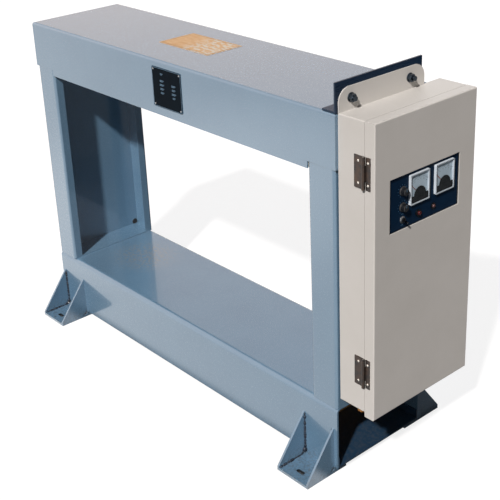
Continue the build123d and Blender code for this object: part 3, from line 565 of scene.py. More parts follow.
# Turned steel under a black oxide, with fine tool rings.
TURNED_STEEL = Finish(
    "steel_black_oxide", "33383F", "262A30", spread=0.5, patch_mm=4.0, grain_mm=0.4, relief_mm=0.006,
    metallic=0.9, roughness=0.34,
)
# Red ABS push button, moulded.
RED_ABS = Finish(
    "abs_moulded_red", "4A1012", "3C0C0E", spread=0.4, patch_mm=8.0, grain_mm=0.7, relief_mm=0.008,
    roughness=0.32,
)
# Ruby polycarbonate lens with no light behind it: deep red, nearly black, and glossy.
RUBY_LENS = Finish(
    "polycarbonate_ruby", "3E0A0C", "320708", spread=0.3, patch_mm=8.0, grain_mm=0.8, relief_mm=0.003,
    roughness=0.12, coat=0.5, ior=1.58,
)
# Glass-fibre board with its weave showing faintly.
GLASS_BOARD = Finish(
    "glass_fibre_board", "C9C6B4", "B9B59F", spread=0.5, patch_mm=60.0, grain_mm=2.0, relief_mm=0.02,
    relief=Relief.CELLS, roughness=0.55,
)
# Varnished cotton tape lapped round the coils.
VARNISHED_TAPE = Finish(
    "cotton_tape_varnished", "8A5A2C", "6E441E", spread=0.7, patch_mm=18.0, grain_mm=12.0,
    relief_mm=0.25, relief=Relief.WRAPPED, roughness=0.35, coat=0.3,
)
# Sealed beech bearers with grain along their length.
SEALED_BEECH = Finish(
    "beech_sealed", "B08A58", "93703F", spread=0.8, patch_mm=40.0, grain_mm=2.5, relief_mm=0.04,
    relief=Relief.BRUSHED, stretch=(1.0, 0.08, 1.0), roughness=0.45,
)
# Green solder resist over woven laminate.
SOLDER_RESIST = Finish(
    "solder_resist", "1E5B3A", "17472D", spread=0.5, patch_mm=25.0, grain_mm=1.2, relief_mm=0.01,
    relief=Relief.CELLS, roughness=0.3, coat=0.2,
)
# Moulded epoxy of the board's components.
MOULDED_EPOXY = Finish(
    "epoxy_moulded", "1B1B1D", "29292C", spread=0.5, patch_mm=10.0, grain_mm=0.6, relief_mm=0.008,
    roughness=0.45,
)
# Varnished core laminations, striped across the stack.
CORE_LAMINATIONS = Finish(
    "silicon_steel_laminations", "6A6660", "4B4742", spread=0.8, patch_mm=8.0, grain_mm=1.4,
    relief_mm=0.05, relief=Relief.BRUSHED, stretch=(1.0, 0.05, 0.05), metallic=0.6, roughness=0.42,
)
# Yellow polyester winding tape.
WINDING_TAPE = Finish(
    "polyester_winding_tape", "C79240", "A8762C", spread=0.5, patch_mm=16.0, grain_mm=9.0,
    relief_mm=0.12, relief=Relief.WRAPPED, roughness=0.28, coat=0.3,
)
# Grey polyamide terminal strip.
POLYAMIDE = Finish(
    "polyamide_moulded", "9A9C98", "8A8C88", spread=0.5, patch_mm=12.0, grain_mm=0.7, relief_mm=0.01,
    roughness=0.5,
)
# Carbon-film resistors: tan lacquer over ceramic, slightly uneven.
RESISTOR_LACQUER = Finish(
    "resistor_lacquer", "B99A6C", "94764A", spread=0.7, patch_mm=2.0, grain_mm=0.5, relief_mm=0.01,
    roughness=0.35,
)
# Pale studio floor, evenly matt.
STUDIO_FLOOR = Finish(
    "studio_floor_paint", "F2F2F1", "EFEFEE", spread=0.4, patch_mm=900.0, grain_mm=6.0, relief_mm=0.01,
    roughness=0.75,
)


NODE_FINISHES: dict[str, Finish] = {
    "bottom_beam_shell": RING_ENAMEL,
    "bottom_beam_base": TRAY_PAINTED_SHADE,
    "left_upright": RING_ENAMEL,
    "right_upright": RING_ENAMEL,
    "top_beam_shell": RING_ENAMEL,
    "front_left_foot": RING_ENAMEL,
    "front_right_foot": RING_ENAMEL,
    "rear_left_foot": RING_ENAMEL,
    "rear_right_foot": RING_ENAMEL,
    "top_beam_liner": GLASS_BOARD,
    "transmit_coil": VARNISHED_TAPE,
    "receive_coils": VARNISHED_TAPE,
    "coil_bearers": SEALED_BEECH,
    "blank_plate": PLATE_LAMINATE,
    "top_label": GOLD_FILM,
    "angle_bracket": BRACKET_ENAMEL,
    "bracket_bolts": BLACK_ZINC,
    "bracket_nuts": BLACK_ZINC,
    "cabinet_body": CABINET_POWDER,
    "buffer_pads": BLACK_RUBBER,
    "cable_glands": DULL_BRASS,
    "component_plate": ZINC_SHEET,
    "circuit_board": SOLDER_RESIST,
    "board_components": MOULDED_EPOXY,
    "transformer_core": CORE_LAMINATIONS,
    "transformer_winding": WINDING_TAPE,
    "terminal_block": POLYAMIDE,
    "lock_barrel": BRIGHT_NICKEL,
    "lock_plug": BRIGHT_NICKEL,
    "upper_hinge_body_leaf": HINGE_BRONZE,
    "lower_hinge_body_leaf": HINGE_BRONZE,
    "upper_hinge_door_leaf": HINGE_BRONZE,
    "lower_hinge_door_leaf": HINGE_BRONZE,
    "hinge_pins": GROUND_STEEL,
    "door_pan": CABINET_POWDER,
    "door_gasket": FOAM,
    "lock_strike": ZINC_SHEET,
    "instrument_gasket": BLACK_RUBBER,
    "instrument_panel": PANEL_LACQUER,
    "left_meter_case": WHITE_ABS,
    "right_meter_case": WHITE_ABS,
    "meter_dials": DIAL_CARD,
    "meter_shrouds": SHROUD_CARD,
    "meter_covers": ACRYLIC,
    "left_meter_needle": NEEDLE_ENAMEL,
    "right_meter_needle": NEEDLE_ENAMEL,
    "potentiometers": TURNED_STEEL,
    "upper_knob": BLACK_ABS,
    "lower_knob": BLACK_ABS,
    "switch_body": BLACK_ABS,
    "switch_lever": BLACK_CHROME,
    "button_housing": TURNED_STEEL,
    "push_button": RED_ABS,
    "indicator_lamp": TURNED_STEEL,
    "lamp_lens": RUBY_LENS,
}


def wear(item: bpy.types.Object, finish: Finish) -> None:
    """Give an object one finish on all its faces.

    Args:
        item: The object.
        finish: Its surface.
    """
    material = finish.build()
    if not item.data.materials:
        item.data.materials.append(material)
    for place in range(len(item.data.materials)):
        item.data.materials[place] = material


def new_piece(name: str, mesh: Mesh, body: str, finish: Finish) -> bpy.types.Object:
    """Put a finished mesh in the scene as a piece of the object.

    Args:
        name: The piece's name.
        mesh: Its mesh, in place in the part's own frame.
        body: The body that it rides on.
        finish: Its surface.

    Returns:
        The piece's object.
    """
    mesh.name = name
    piece = bpy.data.objects.new(name, mesh)
    bpy.context.scene.collection.objects.link(piece)
    wear(piece, finish)
    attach(piece, body)
    LOG.info("%s rides on %s, %d faces", name, body, len(mesh.polygons))
    return piece


def corners(node: str) -> tuple[Vector, Vector]:
    """Return a node's lowest and highest corners."""
    low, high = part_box(node)
    return Vector(low), Vector(high)


def middle_at(node: str, x: float) -> Vector:
    """Return the middle of a node's box, moved along X to a given place."""
    low, high = corners(node)
    return Vector((x, (low.y + high.y) / 2, (low.z + high.z) / 2))


def joint_place(name: str) -> Vector:
    """Return the point that a joint turns about."""
    return Vector(next(joint["pos_m"] for joint in frame["joints"] if joint["name"] == name))


def lines_mesh(lines: list[list[Vector]]) -> Mesh:
    """Make a mesh of open lines, or of loose points where a line has one place.

    Args:
        lines: The places along each line.

    Returns:
        A mesh without faces.
    """
    mesh = bpy.data.meshes.new("lines")
    places: list[tuple[float, ...]] = []
    edges: list[tuple[int, int]] = []
    for line in lines:
        first = len(places)
        places.extend(tuple(p) for p in line)
        edges.extend((first + i, first + i + 1) for i in range(len(line) - 1))
    mesh.from_pydata(places, edges, [])
    return mesh


class FormTree:
    """A Geometry Nodes tree with named inputs, made once and used for several pieces."""

    KINDS = {
        "float": "NodeSocketFloat",
        "int": "NodeSocketInt",
        "vector": "NodeSocketVector",
        "material": "NodeSocketMaterial",
    }

    def __init__(self, name: str, inputs: dict[str, str]) -> None:
        """Make the empty tree.

        Args:
            name: The tree's name.
            inputs: Each input's name, with its kind.
        """
        self.tree = bpy.data.node_groups.new(name, "GeometryNodeTree")
        face = self.tree.interface
        face.new_socket("Geometry", in_out="INPUT", socket_type="NodeSocketGeometry")
        self.keys: dict[str, str] = {}
        for key, kind in {**inputs, "Finish": "material"}.items():
            socket = face.new_socket(key, in_out="INPUT", socket_type=self.KINDS[kind])
            self.keys[key] = socket.identifier
        face.new_socket("Geometry", in_out="OUTPUT", socket_type="NodeSocketGeometry")
        self.given = self.tree.nodes.new("NodeGroupInput").outputs
        self.result = self.tree.nodes.new("NodeGroupOutput")

    def add(self, kind: str, inputs: Inputs | None = None, **settings: object) -> Node:
        """Add a node to the tree."""
        return add_node(self.tree, kind, inputs, **settings)

    def close(self, shape: Source) -> None:
        """End the tree: real geometry, its finish, and the way out.

        Args:
            shape: The geometry that the tree has made.
        """
        real = self.add("GeometryNodeRealizeInstances", {"Geometry": shape})
        dressed = self.add("GeometryNodeSetMaterial", {"Geometry": real, "Material": self.given["Finish"]})
        self.tree.links.new(dressed.outputs[0], self.result.inputs[0])

    def grow(self, base: Mesh, finish: Finish, values: dict[str, object]) -> Mesh:
        """Run the tree on a base mesh.

        Args:
            base: The points or lines that the tree starts from.
            finish: The surface that its faces get.
            values: The inputs' values, by name.

        Returns:
            The plain mesh that comes out.
        """
        carrier = bpy.data.objects.new("carrier", base)
        bpy.context.scene.collection.objects.link(carrier)
        modifier = carrier.modifiers.new("form", "NODES")
        modifier.node_group = self.tree
        for key, value in {**values, "Finish": finish.build()}.items():
            modifier[self.keys[key]] = value
        graph = bpy.context.evaluated_depsgraph_get()
        graph.update()
        made = bpy.data.meshes.new_from_object(carrier.evaluated_get(graph), depsgraph=graph)
        bpy.data.objects.remove(carrier)
        bpy.data.meshes.remove(base)
        return made


class HeadTree(FormTree):
    """Domed screw or rivet heads, with a cross recess where they have a drive."""

    SIDES = 20
    MERGE_REACH = 0.02 * MM
    # Shares of the head's radius: its shoulder, its crown, and the cross's length and width.
    SHOULDER, CROWN, CROSS_LENGTH, CROSS_WIDTH = 0.88, 0.5, 1.1, 0.3
    # Shares of the head's height: where the shoulder lies, and the middle of the cutting bars.
    SHOULDER_RISE, CROSS_RISE = 0.5, 0.72

    def __init__(self, recessed: bool) -> None:
        """Make the tree.

        Args:
            recessed: True for a cross-recessed screw, False for a plain rivet.
        """
        super().__init__(
            "screw_heads" if recessed else "rivet_heads",
            {"Head Radius": "float", "Head Height": "float", "Turn": "vector"},
        )
        radius, height = self.given["Head Radius"], self.given["Head Height"]
        half, shoulder, crown, cross_length, cross_width, cross_rise = (
            self.add("ShaderNodeMath", {0: size, 1: share}, operation="MULTIPLY")
            for size, share in (
                (height, self.SHOULDER_RISE),
                (radius, self.SHOULDER),
                (radius, self.CROWN),
                (radius, self.CROSS_LENGTH),
                (radius, self.CROSS_WIDTH),
                (height, self.CROSS_RISE),
            )
        )
        head = self.add("GeometryNodeJoinGeometry")
        for lower, upper, rise in ((radius, shoulder, 0.0), (shoulder, crown, half)):
            cone = self.add(
                "GeometryNodeMeshCone",
                {"Vertices": self.SIDES, "Radius Top": upper, "Radius Bottom": lower, "Depth": half},
            )
            lift = self.add("ShaderNodeCombineXYZ", {"Z": rise})
            raised = self.add("GeometryNodeTransform", {"Geometry": cone, "Translation": lift})
            self.tree.links.new(raised.outputs[0], head.inputs[0])
        shape = self.add("GeometryNodeMergeByDistance", {"Geometry": head, "Distance": self.MERGE_REACH})
        if recessed:
            shape = self.recess(shape, cross_length, cross_width, height, cross_rise)
        turn = self.add("FunctionNodeEulerToRotation", {"Euler": self.given["Turn"]})
        heads = self.add(
            "GeometryNodeInstanceOnPoints",
            {"Points": self.given["Geometry"], "Instance": shape, "Rotation": turn},
        )
        self.close(heads)

    def recess(self, shape: Node, length: Node, width: Node, height: Socket, rise: Node) -> Node:
        """Cut a cross into the head.

        Args:
            shape: The plain head.
            length: Length of the cross's bars.
            width: Width of the cross's bars.
            height: Height of the cross's bars.
            rise: Height at which their middle lies.

        Returns:
            The head with its cross.
        """
        cut = self.add("GeometryNodeMeshBoolean", {0: shape}, operation="DIFFERENCE")
        lift = self.add("ShaderNodeCombineXYZ", {"Z": rise})
        for along, across in ((length, width), (width, length)):
            size = self.add("ShaderNodeCombineXYZ", {"X": along, "Y": across, "Z": height})
            bar = self.add("GeometryNodeMeshCube", {"Size": size})
            placed = self.add("GeometryNodeTransform", {"Geometry": bar, "Translation": lift})
            self.tree.links.new(placed.outputs[0], cut.inputs[1])
        return cut


class RingOfBarsTree(FormTree):
    """Bars set radially on an arc: scale marks, knob marks and the ribs of a grip."""

    def __init__(self) -> None:
        """Make the tree."""
        sizes = dict.fromkeys(("Radius", "Start", "Step"), "float")
        places = dict.fromkeys(("Bar", "Place", "Turn"), "vector")
        super().__init__("bars_on_an_arc", {"Count": "int", **sizes, **places})
        index = self.add("GeometryNodeInputIndex")
        steps = {0: index, 1: self.given["Step"], 2: self.given["Start"]}
        angle = self.add("ShaderNodeMath", steps, operation="MULTIPLY_ADD")
        waves = (self.add("ShaderNodeMath", {0: angle}, operation=wave) for wave in ("COSINE", "SINE"))
        across, along = (
            self.add("ShaderNodeMath", {0: w, 1: self.given["Radius"]}, operation="MULTIPLY") for w in waves
        )
        spot = self.add("ShaderNodeCombineXYZ", {"X": across, "Y": along})
        points = self.add("GeometryNodePoints", {"Count": self.given["Count"], "Position": spot})
        bar = self.add("GeometryNodeMeshCube", {"Size": self.given["Bar"]})
        twist = self.add("ShaderNodeCombineXYZ", {"Z": angle})
        radial, final = (
            self.add("FunctionNodeEulerToRotation", {"Euler": euler}) for euler in (twist, self.given["Turn"])
        )
        bars = self.add(
            "GeometryNodeInstanceOnPoints", {"Points": points, "Instance": bar, "Rotation": radial}
        )
        placed = self.add(
            "GeometryNodeTransform", {"Geometry": bars, "Translation": self.given["Place"], "Rotation": final}
        )
        self.close(placed)


class WeldTree(FormTree):
    """A fillet weld's rippled bead along lines, with uneven drops."""

    SEED = 7
    LEAST = 0.5
    MOST = 1.55
    SEGMENTS, RINGS = 8, 6

    def __init__(self) -> None:
        """Make the tree."""
        super().__init__("weld_bead", {"Bead Radius": "float", "Pitch": "float"})
        curve = self.add("GeometryNodeMeshToCurve", {"Mesh": self.given["Geometry"]})
        steps = self.add(
            "GeometryNodeResampleCurve", {"Curve": curve, "Length": self.given["Pitch"]}, mode="LENGTH"
        )
        drop = self.add(
            "GeometryNodeMeshUVSphere",
            {"Segments": self.SEGMENTS, "Rings": self.RINGS, "Radius": self.given["Bead Radius"]},
        )
        smooth = self.add("GeometryNodeSetShadeSmooth", {"Geometry": drop})
        size = self.add(
            "FunctionNodeRandomValue", {2: self.LEAST, 3: self.MOST, "Seed": self.SEED}, data_type="FLOAT"
        )
        drops = self.add(
            "GeometryNodeInstanceOnPoints", {"Points": steps, "Instance": smooth, "Scale": size.outputs[1]}
        )
        self.close(drops)


class ResistorTree(FormTree):
    """Resistors lying on a board, each a waisted body on two bent leads, with slightly uneven places."""

    SEED = 11
    SIZES = ("Body Length", "Body Radius", "Wire Radius")
    SKEW = 0.05
    BODY_SIDES, WIRE_SIDES = 10, 6
    WAIST = 0.82
    # Shares of the length: the depth and the place of an end cap, of a lead, and the place of a leg.
    CAP_DEPTH, CAP_PLACE, LEAD_DEPTH, LEAD_PLACE, LEG_PLACE = 0.24, 0.36, 0.3, 0.62, 0.77

    def __init__(self) -> None:
        """Make the tree."""
        super().__init__("resistors", dict.fromkeys(self.SIZES, "float"))
        length, radius, wire = (self.given[key] for key in self.SIZES)
        waist, cap_depth, lead_depth, low = (
            self.add("ShaderNodeMath", {0: size, 1: share}, operation="MULTIPLY")
            for size, share in (
                (radius, self.WAIST), (length, self.CAP_DEPTH), (length, self.LEAD_DEPTH), (radius, 0.5)
            )
        )
        join = self.add("GeometryNodeJoinGeometry")
        for sides, thick, depth, turn, reach, rise in (
            (self.BODY_SIDES, waist, length, FACING_FRONT, 0.0, radius),
            (self.BODY_SIDES, radius, cap_depth, FACING_FRONT, self.CAP_PLACE, radius),
            (self.WIRE_SIDES, wire, lead_depth, FACING_FRONT, self.LEAD_PLACE, radius),
            (self.WIRE_SIDES, wire, radius, UPRIGHT, self.LEG_PLACE, low),
        ):
            form = self.add("GeometryNodeMeshCylinder", {"Vertices": sides, "Radius": thick, "Depth": depth})
            for side in (1.0, -1.0) if reach else (1.0,):
                along = self.add("ShaderNodeMath", {0: length, 1: side * reach}, operation="MULTIPLY")
                place = self.add("ShaderNodeCombineXYZ", {"Y": along, "Z": rise})
                moved = self.add(
                    "GeometryNodeTransform", {"Geometry": form, "Translation": place, "Rotation": turn}
                )
                self.tree.links.new(moved.outputs[0], join.inputs[0])
        skew = self.add(
            "FunctionNodeRandomValue",
            {0: (0.0, 0.0, -self.SKEW), 1: (0.0, 0.0, self.SKEW), "Seed": self.SEED},
            data_type="FLOAT_VECTOR",
        )
        laid = self.add("GeometryNodeInstanceOnPoints", {"Points": self.given["Geometry"], "Instance": join})
        turned = self.add("GeometryNodeRotateInstances", {"Instances": laid, "Rotation": skew})
        self.close(turned)


def set_down(form: bmesh.types.BMesh, foot: Vector, turn: Triple) -> Mesh:
    """Turn a form's faces outwards, put it in its place and make it a mesh.

    Args:
        form: The form, about its own origin.
        foot: Where its origin goes.
        turn: Euler angles that take the upright axis to the real one.

    Returns:
        The mesh, in place.
    """
    bmesh.ops.recalc_face_normals(form, faces=form.faces[:])
    form.transform(Matrix.Translation(foot) @ Euler(turn).to_matrix().to_4x4())
    mesh = bpy.data.meshes.new("form")
    form.to_mesh(mesh)
    form.free()
    return mesh


def turned_mesh(profile: list[Pair], foot: Vector, turn: Triple = FACING_END, sides: int = 32) -> Mesh:
    """Turn a profile round its axis, as a lathe does.

    Args:
        profile: Radius and height of each step, from the bottom's centre to the top's.
        foot: Where the axis's foot stands.
        turn: Euler angles that take the upright axis to the real one.
        sides: Facets round the axis.

    Returns:
        A closed mesh with outward faces, in place.
    """
    form = bmesh.new()
    rings = []
    for radius, height in profile:
        ring = []
        for index in range(sides if radius > 0 else 1):
            angle = FULL_TURN * index / sides
            ring.append(form.verts.new((radius * math.cos(angle), radius * math.sin(angle), height)))
        rings.append(ring)
    for lower, upper in zip(rings, rings[1:]):
        for index in range(sides):
            after = (index + 1) % sides
            if len(lower) == 1:
                around = [lower[0], upper[after], upper[index]]
            elif len(upper) == 1:
                around = [lower[index], lower[after], upper[0]]
            else:
                around = [lower[index], lower[after], upper[after], upper[index]]
            form.faces.new(around).smooth = True
    mesh = set_down(form, foot, turn)
    mesh.set_sharp_from_angle(angle=SHARP_ANGLE)
    return mesh


def hoop_mesh(rings: list[list[Triple]], foot: Vector, turn: Triple) -> Mesh:
    """Join closed cross sections into a hoop.

    Args:
        rings: The cross sections in order round the hoop, each a closed line of points.
        foot: Where the hoop's own origin goes.
        turn: Euler angles that take the upright axis to the real one.

    Returns:
        A closed mesh with outward faces, in place.
    """
    form = bmesh.new()
    made = [[form.verts.new(point) for point in ring] for ring in rings]
    for ring, after in zip(made, made[1:] + made[:1]):
        for place in range(len(ring)):
            following = (place + 1) % len(ring)
            form.faces.new((ring[place], after[place], after[following], ring[following]))
    return set_down(form, foot, turn)


def nut_mesh(flats: float, thickness: float, bore: float, foot: Vector) -> Mesh:
    """Make a hexagonal nut with chamfered corners, facing the cabinet's end.

    Args:
        flats: Distance across the flats.
        thickness: Height along the axis.
        bore: Radius of the hole.
        foot: Centre of the seat.

    Returns:
        A closed mesh with outward faces, in place.
    """
    sides, steps, slope, seat, ease, lip = 6, 5, 0.58, 0.95, 0.03, 0.12
    rings = []
    flat = flats / 2
    for index in range(sides * steps):
        angle = FULL_TURN * index / (sides * steps)
        across = (index % steps) / steps * FULL_TURN / sides - math.pi / sides
        reach = flat / math.cos(across)
        drop = (reach - flat) * slope + flat * ease
        profile = [
            (bore, 0.0),
            (flat * seat, 0.0),
            (reach, drop),
            (reach, thickness - drop),
            (flat * seat, thickness),
            (bore * (1 + lip), thickness),
            (bore, thickness - bore * lip),
        ]
        rings.append([(r * math.cos(angle), r * math.sin(angle), h) for r, h in profile])
    return hoop_mesh(rings, foot, FACING_END)


def text_mesh(words: str, height: float, centre: Vector, turn: Matrix) -> Mesh:
    """Make raised printing.

    Args:
        words: What it says.
        height: Size of the letters.
        centre: The middle of the words, on the printed face.
        turn: Turns the words from the flat into place.

    Returns:
        A closed mesh, in place.
    """
    curve = bpy.data.curves.new("words", "FONT")
    curve.body = words
    curve.size = height
    curve.extrude = INK_PROUD
    curve.resolution_u = 3
    curve.align_x = "CENTER"
    curve.align_y = "CENTER"
    carrier = bpy.data.objects.new("words", curve)
    mesh = bpy.data.meshes.new_from_object(carrier)
    bpy.data.objects.remove(carrier)
    bpy.data.curves.remove(curve)
    mesh.transform(Matrix.Translation(centre) @ turn.to_4x4())
    return mesh


def box_mesh(parts: list[tuple[Vector, Vector]]) -> Mesh:
    """Make boxes.

    Args:
        parts: Two opposite corners of each box.

    Returns:
        One mesh that holds all the boxes, in place.
    """
    form = bmesh.new()
    for low, high in parts:
        made = bmesh.ops.create_cube(form, size=1.0)
        size = Matrix.Diagonal(Vector((*(high - low), 1.0)))
        place = Matrix.Translation((low + high) / 2)
        bmesh.ops.transform(form, matrix=place @ size, verts=made["verts"])
    mesh = bpy.data.meshes.new("boxes")
    form.to_mesh(mesh)
    form.free()
    return mesh


def join_meshes(meshes: list[Mesh]) -> Mesh:
    """Join several meshes that share a finish into one, and drop the rest.

    Args:
        meshes: The meshes, in order.

    Returns:
        The mesh that holds them all.
    """
    form = bmesh.new()
    for mesh in meshes:
        form.from_mesh(mesh)
    joined = bpy.data.meshes.new("joined")
    form.to_mesh(joined)
    form.free()
    for mesh in meshes:
        bpy.data.meshes.remove(mesh)
    return joined


def border_bars(
    left: float, right: float, low: float, high: float, line: float
) -> list[tuple[float, float, float, float]]:
    """Lay out the four bars of a rectangular border.

    Args:
        left: The border's left edge.
        right: Its right edge.
        low: Its lower edge.
        high: Its upper edge.
        line: Width of a bar.

    Returns:
        The left, right, lower and upper edge of each bar.
    """
    return [
        (left, right, low, low + line),
        (left, right, high - line, high),
        (left, left + line, low + line, high - line),
        (right - line, right, low + line, high - line),
    ]


@dataclass(frozen=True)
class Head:
    """One kind of screw, rivet or domed nut.

    Attributes:
        radius: Radius of the head.
        height: Height of the head.
        finish: Its surface.
        slot: The record's material slot that it belongs to; not used.
        recessed: Whether it has a cross recess.
    """

    radius: float
    height: float
    finish: Finish
    slot: str
    recessed: bool = True


class Forms:
    """The Geometry Nodes trees that the sub-assemblies share."""

    def __init__(self) -> None:
        """Make each tree once."""
        self.heads = {recessed: HeadTree(recessed) for recessed in (True, False)}
        self.bars = RingOfBarsTree()
        self.welds = WeldTree()
        self.resistors = ResistorTree()

    def fasten(self, name: str, body: str, head: Head, places: list[Vector], turn: Triple) -> None:
        """Set a head on each place, as one piece.

        Args:
            name: The piece's name.
            body: The body that it rides on.
            head: The kind of head.
            places: Where the heads sit.
            turn: Euler angles that take the upright axis to the real one.
        """
        mesh = self.heads[head.recessed].grow(
            lines_mesh([[place] for place in places]),
            head.finish,
            {"Head Radius": head.radius, "Head Height": head.height, "Turn": turn},
        )
        new_piece(name, mesh, body, head.finish)

    def arc(self, finish: Finish, count: int, radius: float, sweep: Pair, bar: Triple, place: Vector) -> Mesh:
        """Set bars on an arc that faces the cabinet's end.

        Args:
            finish: The bars' surface.
            count: Number of bars.
            radius: The arc's radius.
            sweep: Angle of the first bar, and the angle between two bars.
            bar: Length, width and height of a bar.
            place: Centre of the arc.

        Returns:
            The bars' mesh, in place.
        """
        values = {"Count": count, "Radius": radius, "Start": sweep[0], "Step": sweep[1], "Bar": bar}
        return self.bars.grow(lines_mesh([]), finish, {**values, "Place": tuple(place), "Turn": FACING_END})


@dataclass
class Ring:
    """The detection ring: welds, rivets, the plate's engraved marks and the label's border.

    Attributes:
        forms: The shared trees.
        bead_radius: Radius of the feet's weld beads.
        bead_pitch: Distance between a bead's ripples.
        corner_bead_radius: Radius of the drops that close the gussets' corners.
        gusset_sheet: Thickness of a gusset.
        gusset_relief: Size of the gusset's cut inner corner.
        packer_top: Height of the packer's upper face.
        plate_top: Height of the base plate's upper face.
        slot_reach: Distance of a foot's slot from the beam's face.
        slot_length: Whole length of a foot's slot.
        slot_width: Width of a foot's slot.
        slot_shade_sheet: Thickness of the dark liner of painted shade in a slot.
        rivet: The plate's rivets.
        rivet_inset: How far the rivets stand in from the plate's edges.
        plate_line: Width of the plate's border.
        plate_margin: How far the border stands in from the plate's edges.
        plate_proud: Height of the plate's marks.
        stroke: Height of one line of a field on the plate.
        indent: How much shorter a field's lower line is.
        label_line: Width of the label's border.
        label_margin: How far the border stands in from the label's edges.
        label_proud: Thickness of the label's ink.
        upright_sheet: Thickness of the upright's web.
        web_screw: The screw in the web.
        web_screw_inset: How far it stands in from the upright's front.
        web_screw_drop: How far it lies below the upright's top.
        plug_radius: Radius of the blanking plug in the web.
        plug_rear_inset: How far the plug's centre stands in from the upright's back.
        plug_rise: Height of the plug's centre above the upright's foot.
        nut_flats: Width of the bracket's nuts across their flats.
        bolt_radius: Radius of the bracket's bolts.
        washer_radius: Radius of the bracket's washers.
        washer_sheet: Thickness of the bracket's washers.
    """

    # The plate's plain fields: place of a column, then drop and half width in mm of each field.
    FIELDS = (
        (0.34, ((0.16, 6.0), (0.33, 9.0), (0.43, 10.0), (0.53, 9.0), (0.63, 8.0))),
        (0.74, ((0.38, 9.0), (0.48, 8.0), (0.58, 9.5), (0.68, 6.0))),
    )
    # Between which shares of the gusset's cut corner the filling weld runs.
    FILL_SHARES = (0.2, 0.8)
    SLEEVE_STEPS = 24

    forms: Forms
    bead_radius: float = 3.7 * MM
    bead_pitch: float = 3.4 * MM
    corner_bead_radius: float = 5.5 * MM
    gusset_sheet: float = 6.0 * MM
    gusset_relief: float = 16.0 * MM
    packer_top: float = 20.0 * MM
    plate_top: float = 8.0 * MM
    slot_reach: float = 70.0 * MM
    slot_length: float = 28.0 * MM
    slot_width: float = 12.0 * MM
    slot_shade_sheet: float = 0.6 * MM
    rivet: Head = Head(2.4 * MM, 1.2 * MM, ZINC_PLATE, "zinc", False)
    rivet_inset: float = 7.0 * MM
    plate_line: float = 1.1 * MM
    plate_margin: float = 1.2 * MM
    plate_proud: float = 0.15 * MM
    stroke: float = 1.6 * MM
    indent: float = 4.0 * MM
    label_line: float = 1.6 * MM
    label_margin: float = 5.0 * MM
    label_proud: float = 0.1 * MM
    upright_sheet: float = 4.0 * MM
    web_screw: Head = Head(5.0 * MM, 3.0 * MM, BRIGHT_NICKEL, "zinc")
    web_screw_inset: float = 60.0 * MM
    web_screw_drop: float = 330.0 * MM
    plug_radius: float = 10.0 * MM
    plug_rear_inset: float = 15.0 * MM
    plug_rise: float = 12.0 * MM
    nut_flats: float = 18.8 * MM
    bolt_radius: float = 6.0 * MM
    washer_radius: float = 12.0 * MM
    washer_sheet: float = 2.0 * MM

    def build(self) -> None:
        """Make all of the ring's added pieces."""
        self.foot_welds()
        self.slot_painted_shade()
        self.plate()
        self.label_border()
        self.web_screw_and_plug()
        self.nuts()

    def beam_side(self, foot: str) -> Pair:
        """Return where the beam's face is that a foot stands at, and which way the foot points from it."""
        low, high = corners("bottom_beam_shell")
        return (low.y, -1.0) if foot.startswith("front") else (high.y, 1.0)

    def foot_welds(self) -> None:
        """Lay the weld beads between the gussets, the beam and the base plates."""
        lines, fills = [], []
        cut = self.gusset_relief
        for foot in FEET:
            low, high = corners(foot)
            face, out = self.beam_side(foot)
            toe = low.y if out < 0 else high.y
            near, far = (face + out * cut * share for share in self.FILL_SHARES)
            for edge in (low.x + self.gusset_sheet, high.x - self.gusset_sheet):
                lines += [
                    [Vector((edge, face, z)) for z in (self.packer_top + cut / 2, high.z - cut / 2)],
                    [Vector((edge, y, self.plate_top)) for y in (face + out * cut, toe - out * cut / 2)],
                ]
                drop = Vector((edge, far, self.plate_top + self.bead_radius))
                fills.append([Vector((edge, near, self.packer_top)), drop])
        for name, runs, radius, pitch in (
            ("foot_welds", lines, self.bead_radius, self.bead_pitch),
            ("corner_welds", fills, self.corner_bead_radius, self.bead_pitch * 2),
        ):
            beads = self.forms.welds.grow(
                lines_mesh(runs), WELD_SCALE, {"Bead Radius": radius, "Pitch": pitch}
            )
            new_piece(name, beads, "ring", WELD_SCALE)

    def slot_painted_shade(self) -> None:
        """Line each foot's slot with a dark liner, painted shade for the shadow inside it."""
        sleeves = []
        fit, bottom, top = 0.05 * MM, 0.3 * MM, self.plate_top - 0.2 * MM
        wide, narrow = self.slot_width / 2 - fit, self.slot_width / 2 - self.slot_shade_sheet
        half = (self.slot_length - self.slot_width) / 2
        rings = []
        for step in range(self.SLEEVE_STEPS):
            angle = FULL_TURN * (step + 0.5) / self.SLEEVE_STEPS
            end = math.copysign(half, math.cos(angle))
            section = ((wide, bottom), (wide, top), (narrow, top), (narrow, bottom))
            rings.append([(end + r * math.cos(angle), r * math.sin(angle), level) for r, level in section])
        for foot in FEET:
            low, high = corners(foot)
            face, out = self.beam_side(foot)
            centre = Vector(((low.x + high.x) / 2, face + out * self.slot_reach, 0.0))
            sleeves.append(hoop_mesh(rings, centre, UPRIGHT))
        # Painted shade: a dark liner that stands for the shadow in each slot.
        new_piece("slot_painted_shade", join_meshes(sleeves), "ring", SLOT_PAINTED_SHADE)

